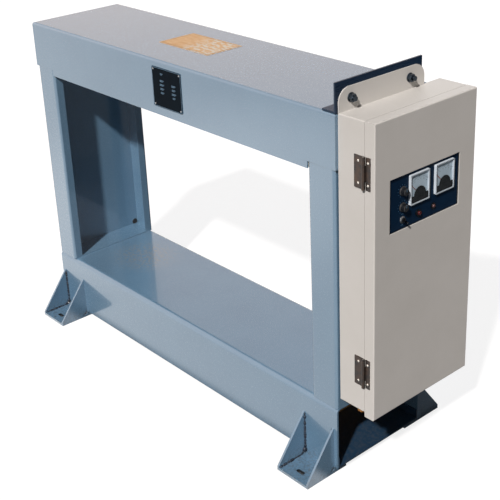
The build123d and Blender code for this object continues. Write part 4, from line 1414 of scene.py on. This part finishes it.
    def plate(self) -> None:
        """Fix the black plate with four rivets, and engrave its border and two columns of plain fields."""
        low, high = corners("blank_plate")
        face, inset, margin = low.y, self.rivet_inset, self.plate_margin
        places = [
            Vector((x, face, z))
            for x in (low.x + inset, high.x - inset)
            for z in (low.z + inset, high.z - inset)
        ]
        self.forms.fasten("plate_rivets", "ring", self.rivet, places, FACING_FRONT)
        bars = border_bars(low.x + margin, high.x - margin, low.z + margin, high.z - margin, self.plate_line)
        for column, rows in self.FIELDS:
            for row, half_mm in rows:
                x = low.x + (high.x - low.x) * column
                z = high.z - (high.z - low.z) * row
                half = half_mm * MM
                bars.append((x - half, x + half, z + self.stroke, z + 2 * self.stroke))
                bars.append((x - half, x + half - self.indent, z - self.stroke, z))
        marks = box_mesh(
            [(Vector((x0, face - self.plate_proud, z0)), Vector((x1, face, z1))) for x0, x1, z0, z1 in bars]
        )
        new_piece("plate_marks", marks, "ring", LAMINATE_CORE)

    def label_border(self) -> None:
        """Print a plain border on the gold label."""
        low, high = corners("top_label")
        margin, top = self.label_margin, high.z
        bars = border_bars(low.x + margin, high.x - margin, low.y + margin, high.y - margin, self.label_line)
        mesh = box_mesh(
            [(Vector((a, c, top)), Vector((b, d, top + self.label_proud))) for a, b, c, d in bars]
        )
        new_piece("label_border", mesh, "ring", DULL_BRASS)

    def web_screw_and_plug(self) -> None:
        """Set a screw in the left upright's web, and press a rubber plug into the hole at its foot."""
        low, high = corners("left_upright")
        web = low.x + self.upright_sheet
        place = Vector((web, low.y + self.web_screw_inset, high.z - self.web_screw_drop))
        self.forms.fasten("web_screw", "ring", self.web_screw, [place], FACING_END)
        radius = self.plug_radius
        profile = [
            (0.0, 0.0),
            (radius, 0.0),
            (radius, 0.9 * MM),
            (radius * 0.9, 1.8 * MM),
            (radius * 0.62, 2.2 * MM),
            (radius * 0.55, 1.5 * MM),
            (0.0, 1.3 * MM),
        ]
        foot = Vector((web, high.y - self.plug_rear_inset, low.z + self.plug_rise))
        new_piece("web_plug", turned_mesh(profile, foot), "ring", BLACK_RUBBER)

    def nuts(self) -> None:
        """Put chamfered nuts on washers where the bracket's two plain nuts are."""
        low, high = corners("bracket_nuts")
        bore, rim, sheet = self.bolt_radius, self.washer_radius, self.washer_sheet
        eased = sheet * 0.2
        outside = [(rim, 0.0), (rim, sheet - eased), (rim - eased, sheet)]
        profile = [(bore, 0.0), *outside, (bore, sheet), (bore, 0.0)]
        span = self.nut_flats / 2 / math.cos(math.pi / 6)
        thickness = high.x - low.x - sheet
        meshes = []
        for y in (low.y + span, high.y - span):
            seat = Vector((low.x, y, (low.z + high.z) / 2))
            meshes.append(turned_mesh(profile, seat))
            meshes.append(nut_mesh(self.nut_flats, thickness, bore, seat + Vector((sheet, 0.0, 0.0))))
        nuts = new_piece("chamfered_nuts", join_meshes(meshes), "ring", BLACK_ZINC)
        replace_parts(nuts, "bracket_nuts")


@dataclass
class Hinges:
    """The two surface hinges' screws.

    Attributes:
        forms: The shared trees.
        screw: The hinges' screws.
        end_inset: How far a screw stands in from its leaf's end.
        barrel_reach: How much of a leaf the barrel takes.
        leaf_sheet: Thickness of a leaf.
    """

    forms: Forms
    screw: Head = Head(3.4 * MM, 1.7 * MM, BRIGHT_NICKEL, "lock_nickel")
    end_inset: float = 13.0 * MM
    barrel_reach: float = 9.5 * MM
    leaf_sheet: float = 2.0 * MM

    def build(self) -> None:
        """Set two screws in every leaf, on the body that carries it."""
        face = corners("cabinet_body")[0].y - self.leaf_sheet
        for side, body, shift in (("body", "ring", -0.5), ("door", "door", 0.5)):
            places = []
            for level in ("upper", "lower"):
                low, high = corners(f"{level}_hinge_{side}_leaf")
                x = (low.x + high.x) / 2 + shift * self.barrel_reach
                places += [Vector((x, face, z)) for z in (low.z + self.end_inset, high.z - self.end_inset)]
            self.forms.fasten(f"hinge_{side}_screws", body, self.screw, places, FACING_FRONT)


@dataclass
class Instruments:
    """The panel's meters, knobs, button, lamp and the nuts behind.

    Attributes:
        forms: The shared trees.
        pivot_drop: How far a needle's pivot lies below its meter's centre.
        scale_radius: Inner radius of a meter's scale.
        scale_sweep: Angle that a meter's scale spans.
        scale_bars: Number, length and width of the scale's short and long marks.
        number_radius: Distance of a dial's numbers from the pivot.
        number_size: Height of a dial's numbers.
        number_count: Number of a dial's numbers, which go up in twos.
        knob_marks: Number of marks round a knob.
        knob_sweep: Angle that a knob's marks span.
        knob_mark_radius: Radius of the ring of marks.
        knob_mark_size: Length and width of a knob's mark.
        knob_gap: Gap between a knob and the panel.
        knob_cap: How much shorter the knob's grip is than its node.
        skirt_radius: Radius of a knob's skirt.
        grip_radius: Radius of a knob's grip.
        rib_count: Number of ribs round a grip.
        rib_foot: Height at which the ribs start.
        rib_clearance: How much shorter the ribs are than the grip.
        word_size: Height of the words at the switch.
        word_rise: How far the words stand above and below the switch.
        lever_length: Length of the switch's lever.
        lever_tip: Radius of the lever's tip.
        lever_pin: Radius and half length of the lever's pin.
        lever_tilt: How far the lever hangs below level at rest.
        lever_sides: Facets round the lever.
        panel_nut: The nuts behind the panel.
        panel_nut_inset: How far they stand in from the panel's edges.
        stud: The studs on a meter's back.
        stud_half: Half the distance between a meter's studs.
        stud_drop: How far the studs lie below the meter's centre.
    """

    forms: Forms
    pivot_drop: float = 18.0 * MM
    scale_radius: float = 43.0 * MM
    scale_sweep: float = math.radians(84)
    scale_bars: tuple[tuple[int, float, float], ...] = ((21, 2.4 * MM, 0.45 * MM), (5, 4.4 * MM, 0.9 * MM))
    number_radius: float = 38.5 * MM
    number_size: float = 5.0 * MM
    number_count: int = 6
    knob_marks: int = 11
    knob_sweep: float = math.radians(300)
    knob_mark_radius: float = 15.5 * MM
    knob_mark_size: Pair = (2.6 * MM, 0.9 * MM)
    knob_gap: float = 0.5 * MM
    knob_cap: float = 1.0 * MM
    skirt_radius: float = 12.0 * MM
    grip_radius: float = 9.4 * MM
    rib_count: int = 18
    rib_foot: float = 3.2 * MM
    rib_clearance: float = 5.0 * MM
    word_size: float = 4.6 * MM
    word_rise: float = 14.0 * MM
    lever_length: float = 20.0 * MM
    lever_tip: float = 2.7 * MM
    lever_pin: Pair = (2.6 * MM, 2.7 * MM)
    lever_tilt: float = math.radians(12)
    lever_sides: int = 20
    panel_nut: Head = Head(4.0 * MM, 3.4 * MM, ZINC_PLATE, "zinc", False)
    panel_nut_inset: float = 7.0 * MM
    stud: Head = Head(4.0 * MM, 5.0 * MM, DULL_BRASS, "gland_brass", False)
    stud_half: float = 11.0 * MM
    stud_drop: float = 8.0 * MM

    def build(self) -> None:
        """Make all of the door's instrument pieces."""
        self.scales()
        self.knob_scales()
        for level in ("upper", "lower"):
            self.knob(level)
        self.lens()
        self.button()
        self.panel_nuts()
        self.switch_nut()
        self.lever()
        self.dial_numbers()
        self.switch_words()
        self.meter_studs()

    def pivots(self) -> list[Vector]:
        """Return the places on the dials that the needles turn about, left and right."""
        face = corners("meter_dials")[1].x
        drop = Vector((0.0, 0.0, self.pivot_drop))
        return [middle_at(f"{side}_meter_case", face) - drop for side in ("left", "right")]

    def on_panel(self, node: str) -> Vector:
        """Return the place on the panel's face that lies before a node's middle."""
        return middle_at(node, corners("instrument_panel")[1].x)

    def scales(self) -> None:
        """Print each meter's arc of marks, with longer ones at each fifth."""
        start = QUARTER_TURN - self.scale_sweep / 2
        marks = [
            self.forms.arc(
                DIAL_INK,
                count,
                self.scale_radius + length / 2,
                (start, self.scale_sweep / (count - 1)),
                (length, width, INK_PROUD * 2),
                pivot,
            )
            for pivot in self.pivots()
            for count, length, width in self.scale_bars
        ]
        new_piece("meter_scales", join_meshes(marks), "door", DIAL_INK)

    def knob_scales(self) -> None:
        """Print the ring of marks round each knob."""
        sweep = (QUARTER_TURN - self.knob_sweep / 2, self.knob_sweep / (self.knob_marks - 1))
        bar = (*self.knob_mark_size, INK_PROUD * 2)
        rings = [
            self.forms.arc(PANEL_INK, self.knob_marks, self.knob_mark_radius, sweep, bar, self.on_panel(knob))
            for knob in ("upper_knob", "lower_knob")
        ]
        new_piece("knob_marks", join_meshes(rings), "door", PANEL_INK)

    def knob(self, level: str) -> None:
        """Make a knob: turned skirt and cap, ribs round the grip, and a pale pointer line.

        Args:
            level: Which knob, upper or lower.
        """
        node = f"{level}_knob"
        foot = self.on_panel(node) + Vector((self.knob_gap, 0.0, 0.0))
        height = corners(node)[1].x - foot.x - self.knob_cap
        skirt, grip = self.skirt_radius, self.grip_radius
        profile = [
            (0.0, 0.0),
            (skirt, 0.0),
            (skirt, 1.6 * MM),
            (skirt - 1.2 * MM, 3.0 * MM),
            (grip, 3.4 * MM),
            (grip - 0.4 * MM, height - 1.0 * MM),
            (grip - 1.4 * MM, height),
            (3.0 * MM, height - 0.3 * MM),
            (0.0, height - 0.3 * MM),
        ]
        rib = height - self.rib_clearance
        ribs = self.forms.arc(
            BLACK_ABS,
            self.rib_count,
            grip - 0.2 * MM,
            (0.0, FULL_TURN / self.rib_count),
            (1.2 * MM, 1.5 * MM, rib),
            foot + Vector((self.rib_foot + rib / 2, 0.0, 0.0)),
        )
        body = join_meshes([turned_mesh(profile, foot), ribs])
        knob = new_piece(f"{level}_knob_grip", body, f"{level}_knob_body", BLACK_ABS)
        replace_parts(knob, node)
        line = (
            foot + Vector((height - 0.4 * MM, -0.6 * MM, 1.0 * MM)),
            foot + Vector((height + 0.15 * MM, 0.6 * MM, grip - 1.0 * MM)),
        )
        new_piece(f"{level}_knob_line", box_mesh([line]), f"{level}_knob_body", LAMINATE_CORE)

    def lens(self) -> None:
        """Dome the lamp's lens."""
        low, high = corners("lamp_lens")
        radius = (high.y - low.y) / 2
        length = high.x - low.x
        steps, rise = 6, radius * 0.8
        angles = [step * QUARTER_TURN / steps for step in range(steps)]
        dome = [(radius * math.cos(angle), length - rise + rise * math.sin(angle)) for angle in angles]
        profile = [(0.0, 0.0), (radius, 0.0), *dome, (0.0, length)]
        mesh = turned_mesh(profile, middle_at("lamp_lens", low.x))
        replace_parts(new_piece("domed_lens", mesh, "door", RUBY_LENS), "lamp_lens")

    def button(self) -> None:
        """Dish the push button's cap."""
        low, high = corners("push_button")
        radius = (high.y - low.y) / 2
        length = high.x - low.x
        stem, shoulder = 2.0 * MM, 9.0 * MM
        profile = [
            (0.0, 0.0),
            (stem, 0.0),
            (stem, shoulder),
            (radius, shoulder + 0.4 * MM),
            (radius, length - 0.9 * MM),
            (radius - 0.3 * MM, length - 0.3 * MM),
            (radius - 0.9 * MM, length),
            (radius * 0.5, length - 0.5 * MM),
            (0.0, length - 0.7 * MM),
        ]
        mesh = turned_mesh(profile, middle_at("push_button", low.x))
        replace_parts(new_piece("dished_button", mesh, "button", RED_ABS), "push_button")

    def panel_nuts(self) -> None:
        """Set the domed nuts that hold the panel to the door, behind it."""
        low, high = corners("instrument_panel")
        inset = self.panel_nut_inset
        places = [
            Vector((low.x, y, z))
            for y in (low.y + inset, (low.y + high.y) / 2, high.y - inset)
            for z in (low.z + inset, high.z - inset)
        ]
        self.forms.fasten("panel_nuts", "door", self.panel_nut, places, FACING_RING)

    def switch_nut(self) -> None:
        """Put the hexagonal dress nut and its washer on the toggle switch's bushing."""
        foot = self.on_panel("switch_body")
        bore, rim, sheet, flats, thickness = 6.0 * MM, 9.2 * MM, 0.8 * MM, 15.0 * MM, 2.4 * MM
        washer = turned_mesh([(bore, 0.0), (rim, 0.0), (rim, sheet), (bore, sheet), (bore, 0.0)], foot)
        nut = nut_mesh(flats, thickness, bore, foot + Vector((sheet, 0.0, 0.0)))
        new_piece("switch_nut", join_meshes([washer, nut]), "door", ZINC_PLATE)

    def lever(self) -> None:
        """Give the toggle its bat shape: slim at the pivot, swelling to a rounded tip."""
        pivot = joint_place("switch_throw")
        length, tip = self.lever_length, self.lever_tip
        profile = [
            (0.0, 0.0),
            (1.5 * MM, 0.0),
            (1.6 * MM, length * 0.35),
            (tip * 0.92, length * 0.8),
            (tip, length * 0.88),
            (tip * 0.9, length * 0.95),
            (tip * 0.55, length * 0.99),
            (0.0, length),
        ]
        bat = turned_mesh(profile, pivot, (0.0, QUARTER_TURN + self.lever_tilt, 0.0), self.lever_sides)
        radius, half = self.lever_pin
        pin_profile = [(0.0, -half), (radius, -half), (radius, half), (0.0, half)]
        pin = turned_mesh(pin_profile, pivot, FACING_FRONT, self.lever_sides)
        lever = new_piece("bat_lever", join_meshes([bat, pin]), "lever", BLACK_CHROME)
        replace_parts(lever, "switch_lever")

    def dial_numbers(self) -> None:
        """Print the numbers under each meter's scale."""
        numbers = []
        upright = Euler(FACING_END).to_matrix()
        for pivot in self.pivots():
            for step in range(self.number_count):
                lean = self.scale_sweep * (step / (self.number_count - 1) - 0.5)
                away = Vector((0.0, math.sin(lean), math.cos(lean))) * self.number_radius
                turn = upright @ Matrix.Rotation(-lean, 3, "Z")
                numbers.append(text_mesh(str(step * 2), self.number_size, pivot + away, turn))
        new_piece("meter_numbers", join_meshes(numbers), "door", DIAL_INK)

    def switch_words(self) -> None:
        """Print ON above the toggle and OFF below it."""
        foot = self.on_panel("switch_body")
        upright = Euler(FACING_END).to_matrix()
        words = [
            text_mesh(word, self.word_size, foot + Vector((0.0, 0.0, rise)), upright)
            for word, rise in (("ON", self.word_rise), ("OFF", -self.word_rise))
        ]
        new_piece("switch_words", join_meshes(words), "door", PANEL_INK)

    def meter_studs(self) -> None:
        """Set the two brass studs on each meter's back."""
        places = []
        for side in ("left", "right"):
            node = f"{side}_meter_case"
            middle = middle_at(node, corners(node)[0].x)
            offsets = (-self.stud_half, self.stud_half)
            places += [middle + Vector((0.0, offset, -self.stud_drop)) for offset in offsets]
        self.forms.fasten("meter_studs", "door", self.stud, places, FACING_RING)


@dataclass
class CabinetInterior:
    """What is fixed inside the cabinet: screws of the strip, plate, board and core, and the resistors.

    Attributes:
        forms: The shared trees.
        terminal_count: Number of wells in the terminal strip.
        terminal_screw: The terminal strip's screws.
        well_depth: Depth of a well.
        corner_screws: Each screwed node, its screws' name, distance from its edges, and kind.
        resistor_pitch: Distance between resistors.
        resistor_rows: Height shares of the board at which the resistors lie.
        resistor_margin: How far the rows stand in from the board's ends.
        resistor_size: Length and radius of a resistor's body, and radius of its wire.
    """

    forms: Forms
    terminal_count: int = 12
    terminal_screw: Head = Head(2.6 * MM, 1.8 * MM, BRIGHT_NICKEL, "lock_nickel")
    well_depth: float = 10.0 * MM
    corner_screws: tuple[tuple[str, str, float, Head], ...] = (
        ("component_plate", "plate_screws", 20.0 * MM, Head(4.4 * MM, 2.2 * MM, ZINC_PLATE, "zinc")),
        ("circuit_board", "board_screws", 8.0 * MM, Head(3.0 * MM, 1.5 * MM, BRIGHT_NICKEL, "lock_nickel")),
        ("transformer_core", "core_bolts", 6.5 * MM, Head(3.6 * MM, 1.8 * MM, ZINC_PLATE, "zinc")),
    )
    resistor_pitch: float = 8.0 * MM
    resistor_rows: tuple[float, ...] = (0.62, 0.88)
    resistor_margin: float = 18.0 * MM
    resistor_size: Triple = (6.5 * MM, 1.3 * MM, 0.35 * MM)

    def build(self) -> None:
        """Make all of the interior's added pieces."""
        self.terminal_screws()
        for node, name, inset, head in self.corner_screws:
            low, high = corners(node)
            ys, zs = (low.y + inset, high.y - inset), (low.z + inset, high.z - inset)
            places = [Vector((high.x, y, z)) for y in ys for z in zs]
            self.forms.fasten(name, "ring", head, places, FACING_END)
        self.resistors()

    def terminal_screws(self) -> None:
        """Set a screw at the bottom of each well of the terminal strip."""
        low, high = corners("terminal_block")
        pitch = (high.y - low.y) / self.terminal_count
        places = [
            Vector((high.x - self.well_depth, low.y + pitch * (index + 0.5), (low.z + high.z) / 2))
            for index in range(self.terminal_count)
        ]
        self.forms.fasten("terminal_screws", "ring", self.terminal_screw, places, FACING_END)

    def resistors(self) -> None:
        """Lay two rows of resistors on the board, where it is free."""
        low, high = corners("circuit_board")
        start = low.y + self.resistor_margin
        count = int((high.y - start - self.resistor_margin) / self.resistor_pitch)
        places = [
            [Vector((start + self.resistor_pitch * (index + 0.5), low.z + (high.z - low.z) * row, high.x))]
            for row in self.resistor_rows
            for index in range(count)
        ]
        sizes = dict(zip(ResistorTree.SIZES, self.resistor_size))
        mesh = self.forms.resistors.grow(lines_mesh(places), RESISTOR_LACQUER, sizes)
        # The rows are laid on a level board. This stands it up: its X, Y and Z become Y, Z and X.
        mesh.transform(Matrix(((0, 0, 1, 0), (1, 0, 0, 0), (0, 1, 0, 0), (0, 0, 0, 1))))
        new_piece("board_resistors", mesh, "ring", RESISTOR_LACQUER)


@dataclass(frozen=True)
class Lamp:
    """One lamp of the studio.

    Attributes:
        name: The lamp's name.
        towards: Direction from the object to the lamp.
        power: Strength of its light.
        spread: Angle that it fills in the sky, in radians.
        colour: Its tint, as sRGB hex.
        mirrored: Whether glossy surfaces show it.
    """

    name: str
    towards: Triple
    power: float
    spread: float
    colour: str
    mirrored: bool = True

    def hang(self) -> None:
        """Put the lamp in the scene."""
        data = bpy.data.lights.new(self.name, "SUN")
        data.energy = self.power
        data.angle = self.spread
        data.color = linear(self.colour)[:3]
        lamp = bpy.data.objects.new(self.name, data)
        lamp.rotation_euler = Vector(self.towards).to_track_quat("Z", "Y").to_euler()
        lamp.visible_glossy = self.mirrored
        bpy.context.scene.collection.objects.link(lamp)


@dataclass
class Studio:
    """Floor, light and camera.

    The floor shines for the camera, so that it stays pale behind the object's soft shadow. For reflections
    it shines only in front of the object, as a card laid there would, with its brightest part round one spot.

    Attributes:
        camera_place: The camera's place, in metres.
        camera_turn: The camera's Euler angles.
        lens: Focal length for a sensor 36 mm wide.
        rise: Vertical shift of the frame.
        floor_reach: Half size of the floor.
        lamps: The lamps.
        room: Colour of the room, as the camera sees it.
        room_power: Its strength.
        fill: Colour of the weak light in the shadows.
        fill_power: Its strength.
        mirrored: Colour of the room in reflections.
        mirrored_power: Its strength behind the object.
        front_power: Its strength in front of the object.
        front_turn: The Y share of a direction at which the front's strength starts and is full.
        floor_shade: Colour of the floor, as the camera sees it.
        floor_bounce_and_foot_shade: Colour of the floor for the light that it throws back, and of the painted
            shade that the camera sees under the feet.
        floor_glow: How strongly the floor shines for the camera.
        card_glow: How strongly the card shines in reflections, at its brightest part.
        card_rest: Share of that strength far from its brightest part.
        card_edges: Where along Y the card starts and is full, in metres.
        pool_centre: Centre of its brightest part.
        pool_radii: Where its brightness starts to fall and has fallen, in metres.
        foot_centre: Middle of a foot on the floor, on one side of each axis.
        foot_half: Half sizes of a foot's print on the floor.
    """

    camera_place: Triple = (2.32554944, -1.82935856, 1.83118683)
    camera_turn: Triple = (1.17030064, 0.0411456, 0.85005701)
    lens: float = 76.55014948
    rise: float = -0.12
    floor_reach: float = 40.0
    lamps: tuple[Lamp, ...] = (
        Lamp("key_lamp", (0.345, -0.651, 0.676), 4.1, math.radians(2.5), "FFFAF6"),
        Lamp("back_lamp", (-0.64, 0.75, 0.16), 2.7, math.radians(40), "F2F6FF", False),
    )
    room: str = "FFFFFF"
    room_power: float = 1.0
    fill: str = "DCE8FA"
    fill_power: float = 0.05
    mirrored: str = "FFF0E8"
    mirrored_power: float = 0.9
    front_power: float = 2.0
    front_turn: Pair = (0.1, -0.3)
    floor_shade: str = "7C7C7C"
    floor_bounce_and_foot_shade: str = "3A3D40"
    floor_glow: float = 0.82
    card_glow: float = 2.15
    card_rest: float = 0.56
    card_edges: Pair = (-0.172, -0.215)
    pool_centre: Triple = (-1.1, -1.5, 0.0)
    pool_radii: Pair = (0.2, 1.5)
    foot_centre: Triple = (0.604, 0.193, 0.0)
    foot_half: Triple = (0.059, 0.073, 1.0)

    def build(self) -> None:
        """Set the stage."""
        self.floor()
        for lamp in self.lamps:
            lamp.hang()
        self.world()
        self.camera()
        bpy.context.scene.view_settings.view_transform = "Standard"

    def floor(self) -> None:
        """Lay the pale floor."""
        signs = ((-1, -1), (1, -1), (1, 1), (-1, 1))
        mesh = bpy.data.meshes.new("studio_floor")
        reach = self.floor_reach
        mesh.from_pydata([(x * reach, y * reach, 0.0) for x, y in signs], [], [range(len(signs))])
        floor = bpy.data.objects.new("studio_floor", mesh)
        bpy.context.scene.collection.objects.link(floor)
        wear(floor, STUDIO_FLOOR)
        self.light_floor(floor.active_material)

    def light_floor(self, paint: bpy.types.Material) -> None:
        """Light the floor for the camera and the reflections, without its full glare on the object.

        Args:
            paint: The floor's material.
        """
        tree = paint.node_tree
        shader = tree.nodes["Principled BSDF"]
        path = add_node(tree, "ShaderNodeLightPath")
        place = add_node(tree, "ShaderNodeTexCoord").outputs["Object"]
        # Painted shade: under the feet the camera sees the dark bounce colour without glow, so the feet's
        # slots look shaded.
        outside_foot_shade = self.floor_outside_foot_shade(tree, place)
        shown = add_node(
            tree, "ShaderNodeMath", {0: path.outputs["Is Camera Ray"], 1: outside_foot_shade}, operation="MULTIPLY"
        )
        chosen = add_node(
            tree,
            "ShaderNodeMix",
            {MIX_FACTOR: shown, MIX_FIRST: linear(self.floor_bounce_and_foot_shade), MIX_SECOND: linear(self.floor_shade)},
            data_type="RGBA",
        )
        seen = add_node(tree, "ShaderNodeMath", {0: shown, 1: self.floor_glow}, operation="MULTIPLY")
        split = add_node(tree, "ShaderNodeSeparateXYZ", {"Vector": place})
        away = add_node(tree, "ShaderNodeVectorMath", {0: place, 1: self.pool_centre}, operation="DISTANCE")
        card: object = self.card_glow * self.card_rest
        for measure, (start, full), first in (
            (away.outputs["Value"], self.pool_radii, self.card_glow),
            (split.outputs["Y"], self.card_edges, 0.0),
        ):
            card = add_node(
                tree,
                "ShaderNodeMapRange",
                {"Value": measure, "From Min": start, "From Max": full, "To Min": first, "To Max": card},
                interpolation_type="SMOOTHSTEP",
            )
        strengths = {0: path.outputs["Is Glossy Ray"], 1: card, 2: seen}
        glow = add_node(tree, "ShaderNodeMath", strengths, operation="MULTIPLY_ADD")
        tree.links.new(chosen.outputs[MIX_RESULT], shader.inputs["Base Color"])
        tree.links.new(glow.outputs[0], shader.inputs["Emission Strength"])
        shader.inputs["Emission Color"].default_value = linear("FFFFFF")

    def floor_outside_foot_shade(self, tree: Tree, place: Socket) -> Node:
        """Return 1 on the open floor and 0 under a foot, where the floor shows painted shade, its dark bounce
        colour without glow, so its slots look dark.

        Args:
            tree: The floor's tree.
            place: The place on the floor.

        Returns:
            The node that gives 1 or 0.
        """
        over: Source = place
        for offset in (self.foot_centre, self.foot_half):
            folded = add_node(tree, "ShaderNodeVectorMath", {0: over}, operation="ABSOLUTE")
            over = add_node(tree, "ShaderNodeVectorMath", {0: folded, 1: offset}, operation="SUBTRACT")
        sides = add_node(tree, "ShaderNodeSeparateXYZ", {"Vector": over})
        both = {0: sides.outputs["X"], 1: sides.outputs["Y"]}
        most = add_node(tree, "ShaderNodeMath", both, operation="MAXIMUM")
        return add_node(tree, "ShaderNodeMath", {0: most, 1: 0.0}, operation="GREATER_THAN")

    def world(self) -> None:
        """Give the room one light for the camera, one for reflections and a weak one for the shadows."""
        world = bpy.data.worlds.new("studio")
        world.use_nodes = True
        tree = world.node_tree
        path = add_node(tree, "ShaderNodeLightPath")
        towards = add_node(tree, "ShaderNodeTexCoord").outputs["Generated"]
        split = add_node(tree, "ShaderNodeSeparateXYZ", {"Vector": towards})
        front = add_node(
            tree,
            "ShaderNodeMapRange",
            {
                "Value": split.outputs["Y"],
                "From Min": self.front_turn[0],
                "From Max": self.front_turn[1],
                "To Min": self.mirrored_power,
                "To Max": self.front_power,
            },
            interpolation_type="SMOOTHSTEP",
        )
        room, fill, mirrored = (
            add_node(tree, "ShaderNodeBackground", {"Color": linear(colour), "Strength": power})
            for colour, power in (
                (self.room, self.room_power),
                (self.fill, self.fill_power),
                (self.mirrored, front.outputs["Result"]),
            )
        )
        light = fill
        for ray, shown in (("Is Glossy Ray", mirrored), ("Is Camera Ray", room)):
            light = add_node(tree, "ShaderNodeMixShader", {0: path.outputs[ray], 1: light, 2: shown})
        tree.links.new(light.outputs[0], tree.nodes["World Output"].inputs["Surface"])
        bpy.context.scene.world = world

    def camera(self) -> None:
        """Set the camera where the photograph was taken from."""
        data = bpy.data.cameras.new("camera")
        data.sensor_width = 36.0
        data.lens = self.lens
        data.shift_y = self.rise
        data.clip_end = 200.0
        camera = bpy.data.objects.new("camera", data)
        camera.location = self.camera_place
        camera.rotation_euler = self.camera_turn
        bpy.context.scene.collection.objects.link(camera)
        bpy.context.scene.camera = camera


def dress_nodes() -> None:
    """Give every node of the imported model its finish."""
    for name, item in frame["nodes"].items():
        finish = NODE_FINISHES[name]
        wear(item, finish)
        LOG.info("%s wears %s", name, finish.name)


def main() -> None:
    """Dress the object and set the stage."""
    logging.basicConfig(level=logging.INFO, format="%(name)s: %(message)s")
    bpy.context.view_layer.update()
    dress_nodes()
    forms = Forms()
    for assembly in (Ring(forms), Hinges(forms), Instruments(forms), CabinetInterior(forms)):
        assembly.build()
    Studio().build()


if __name__ == "__main__":
    main()
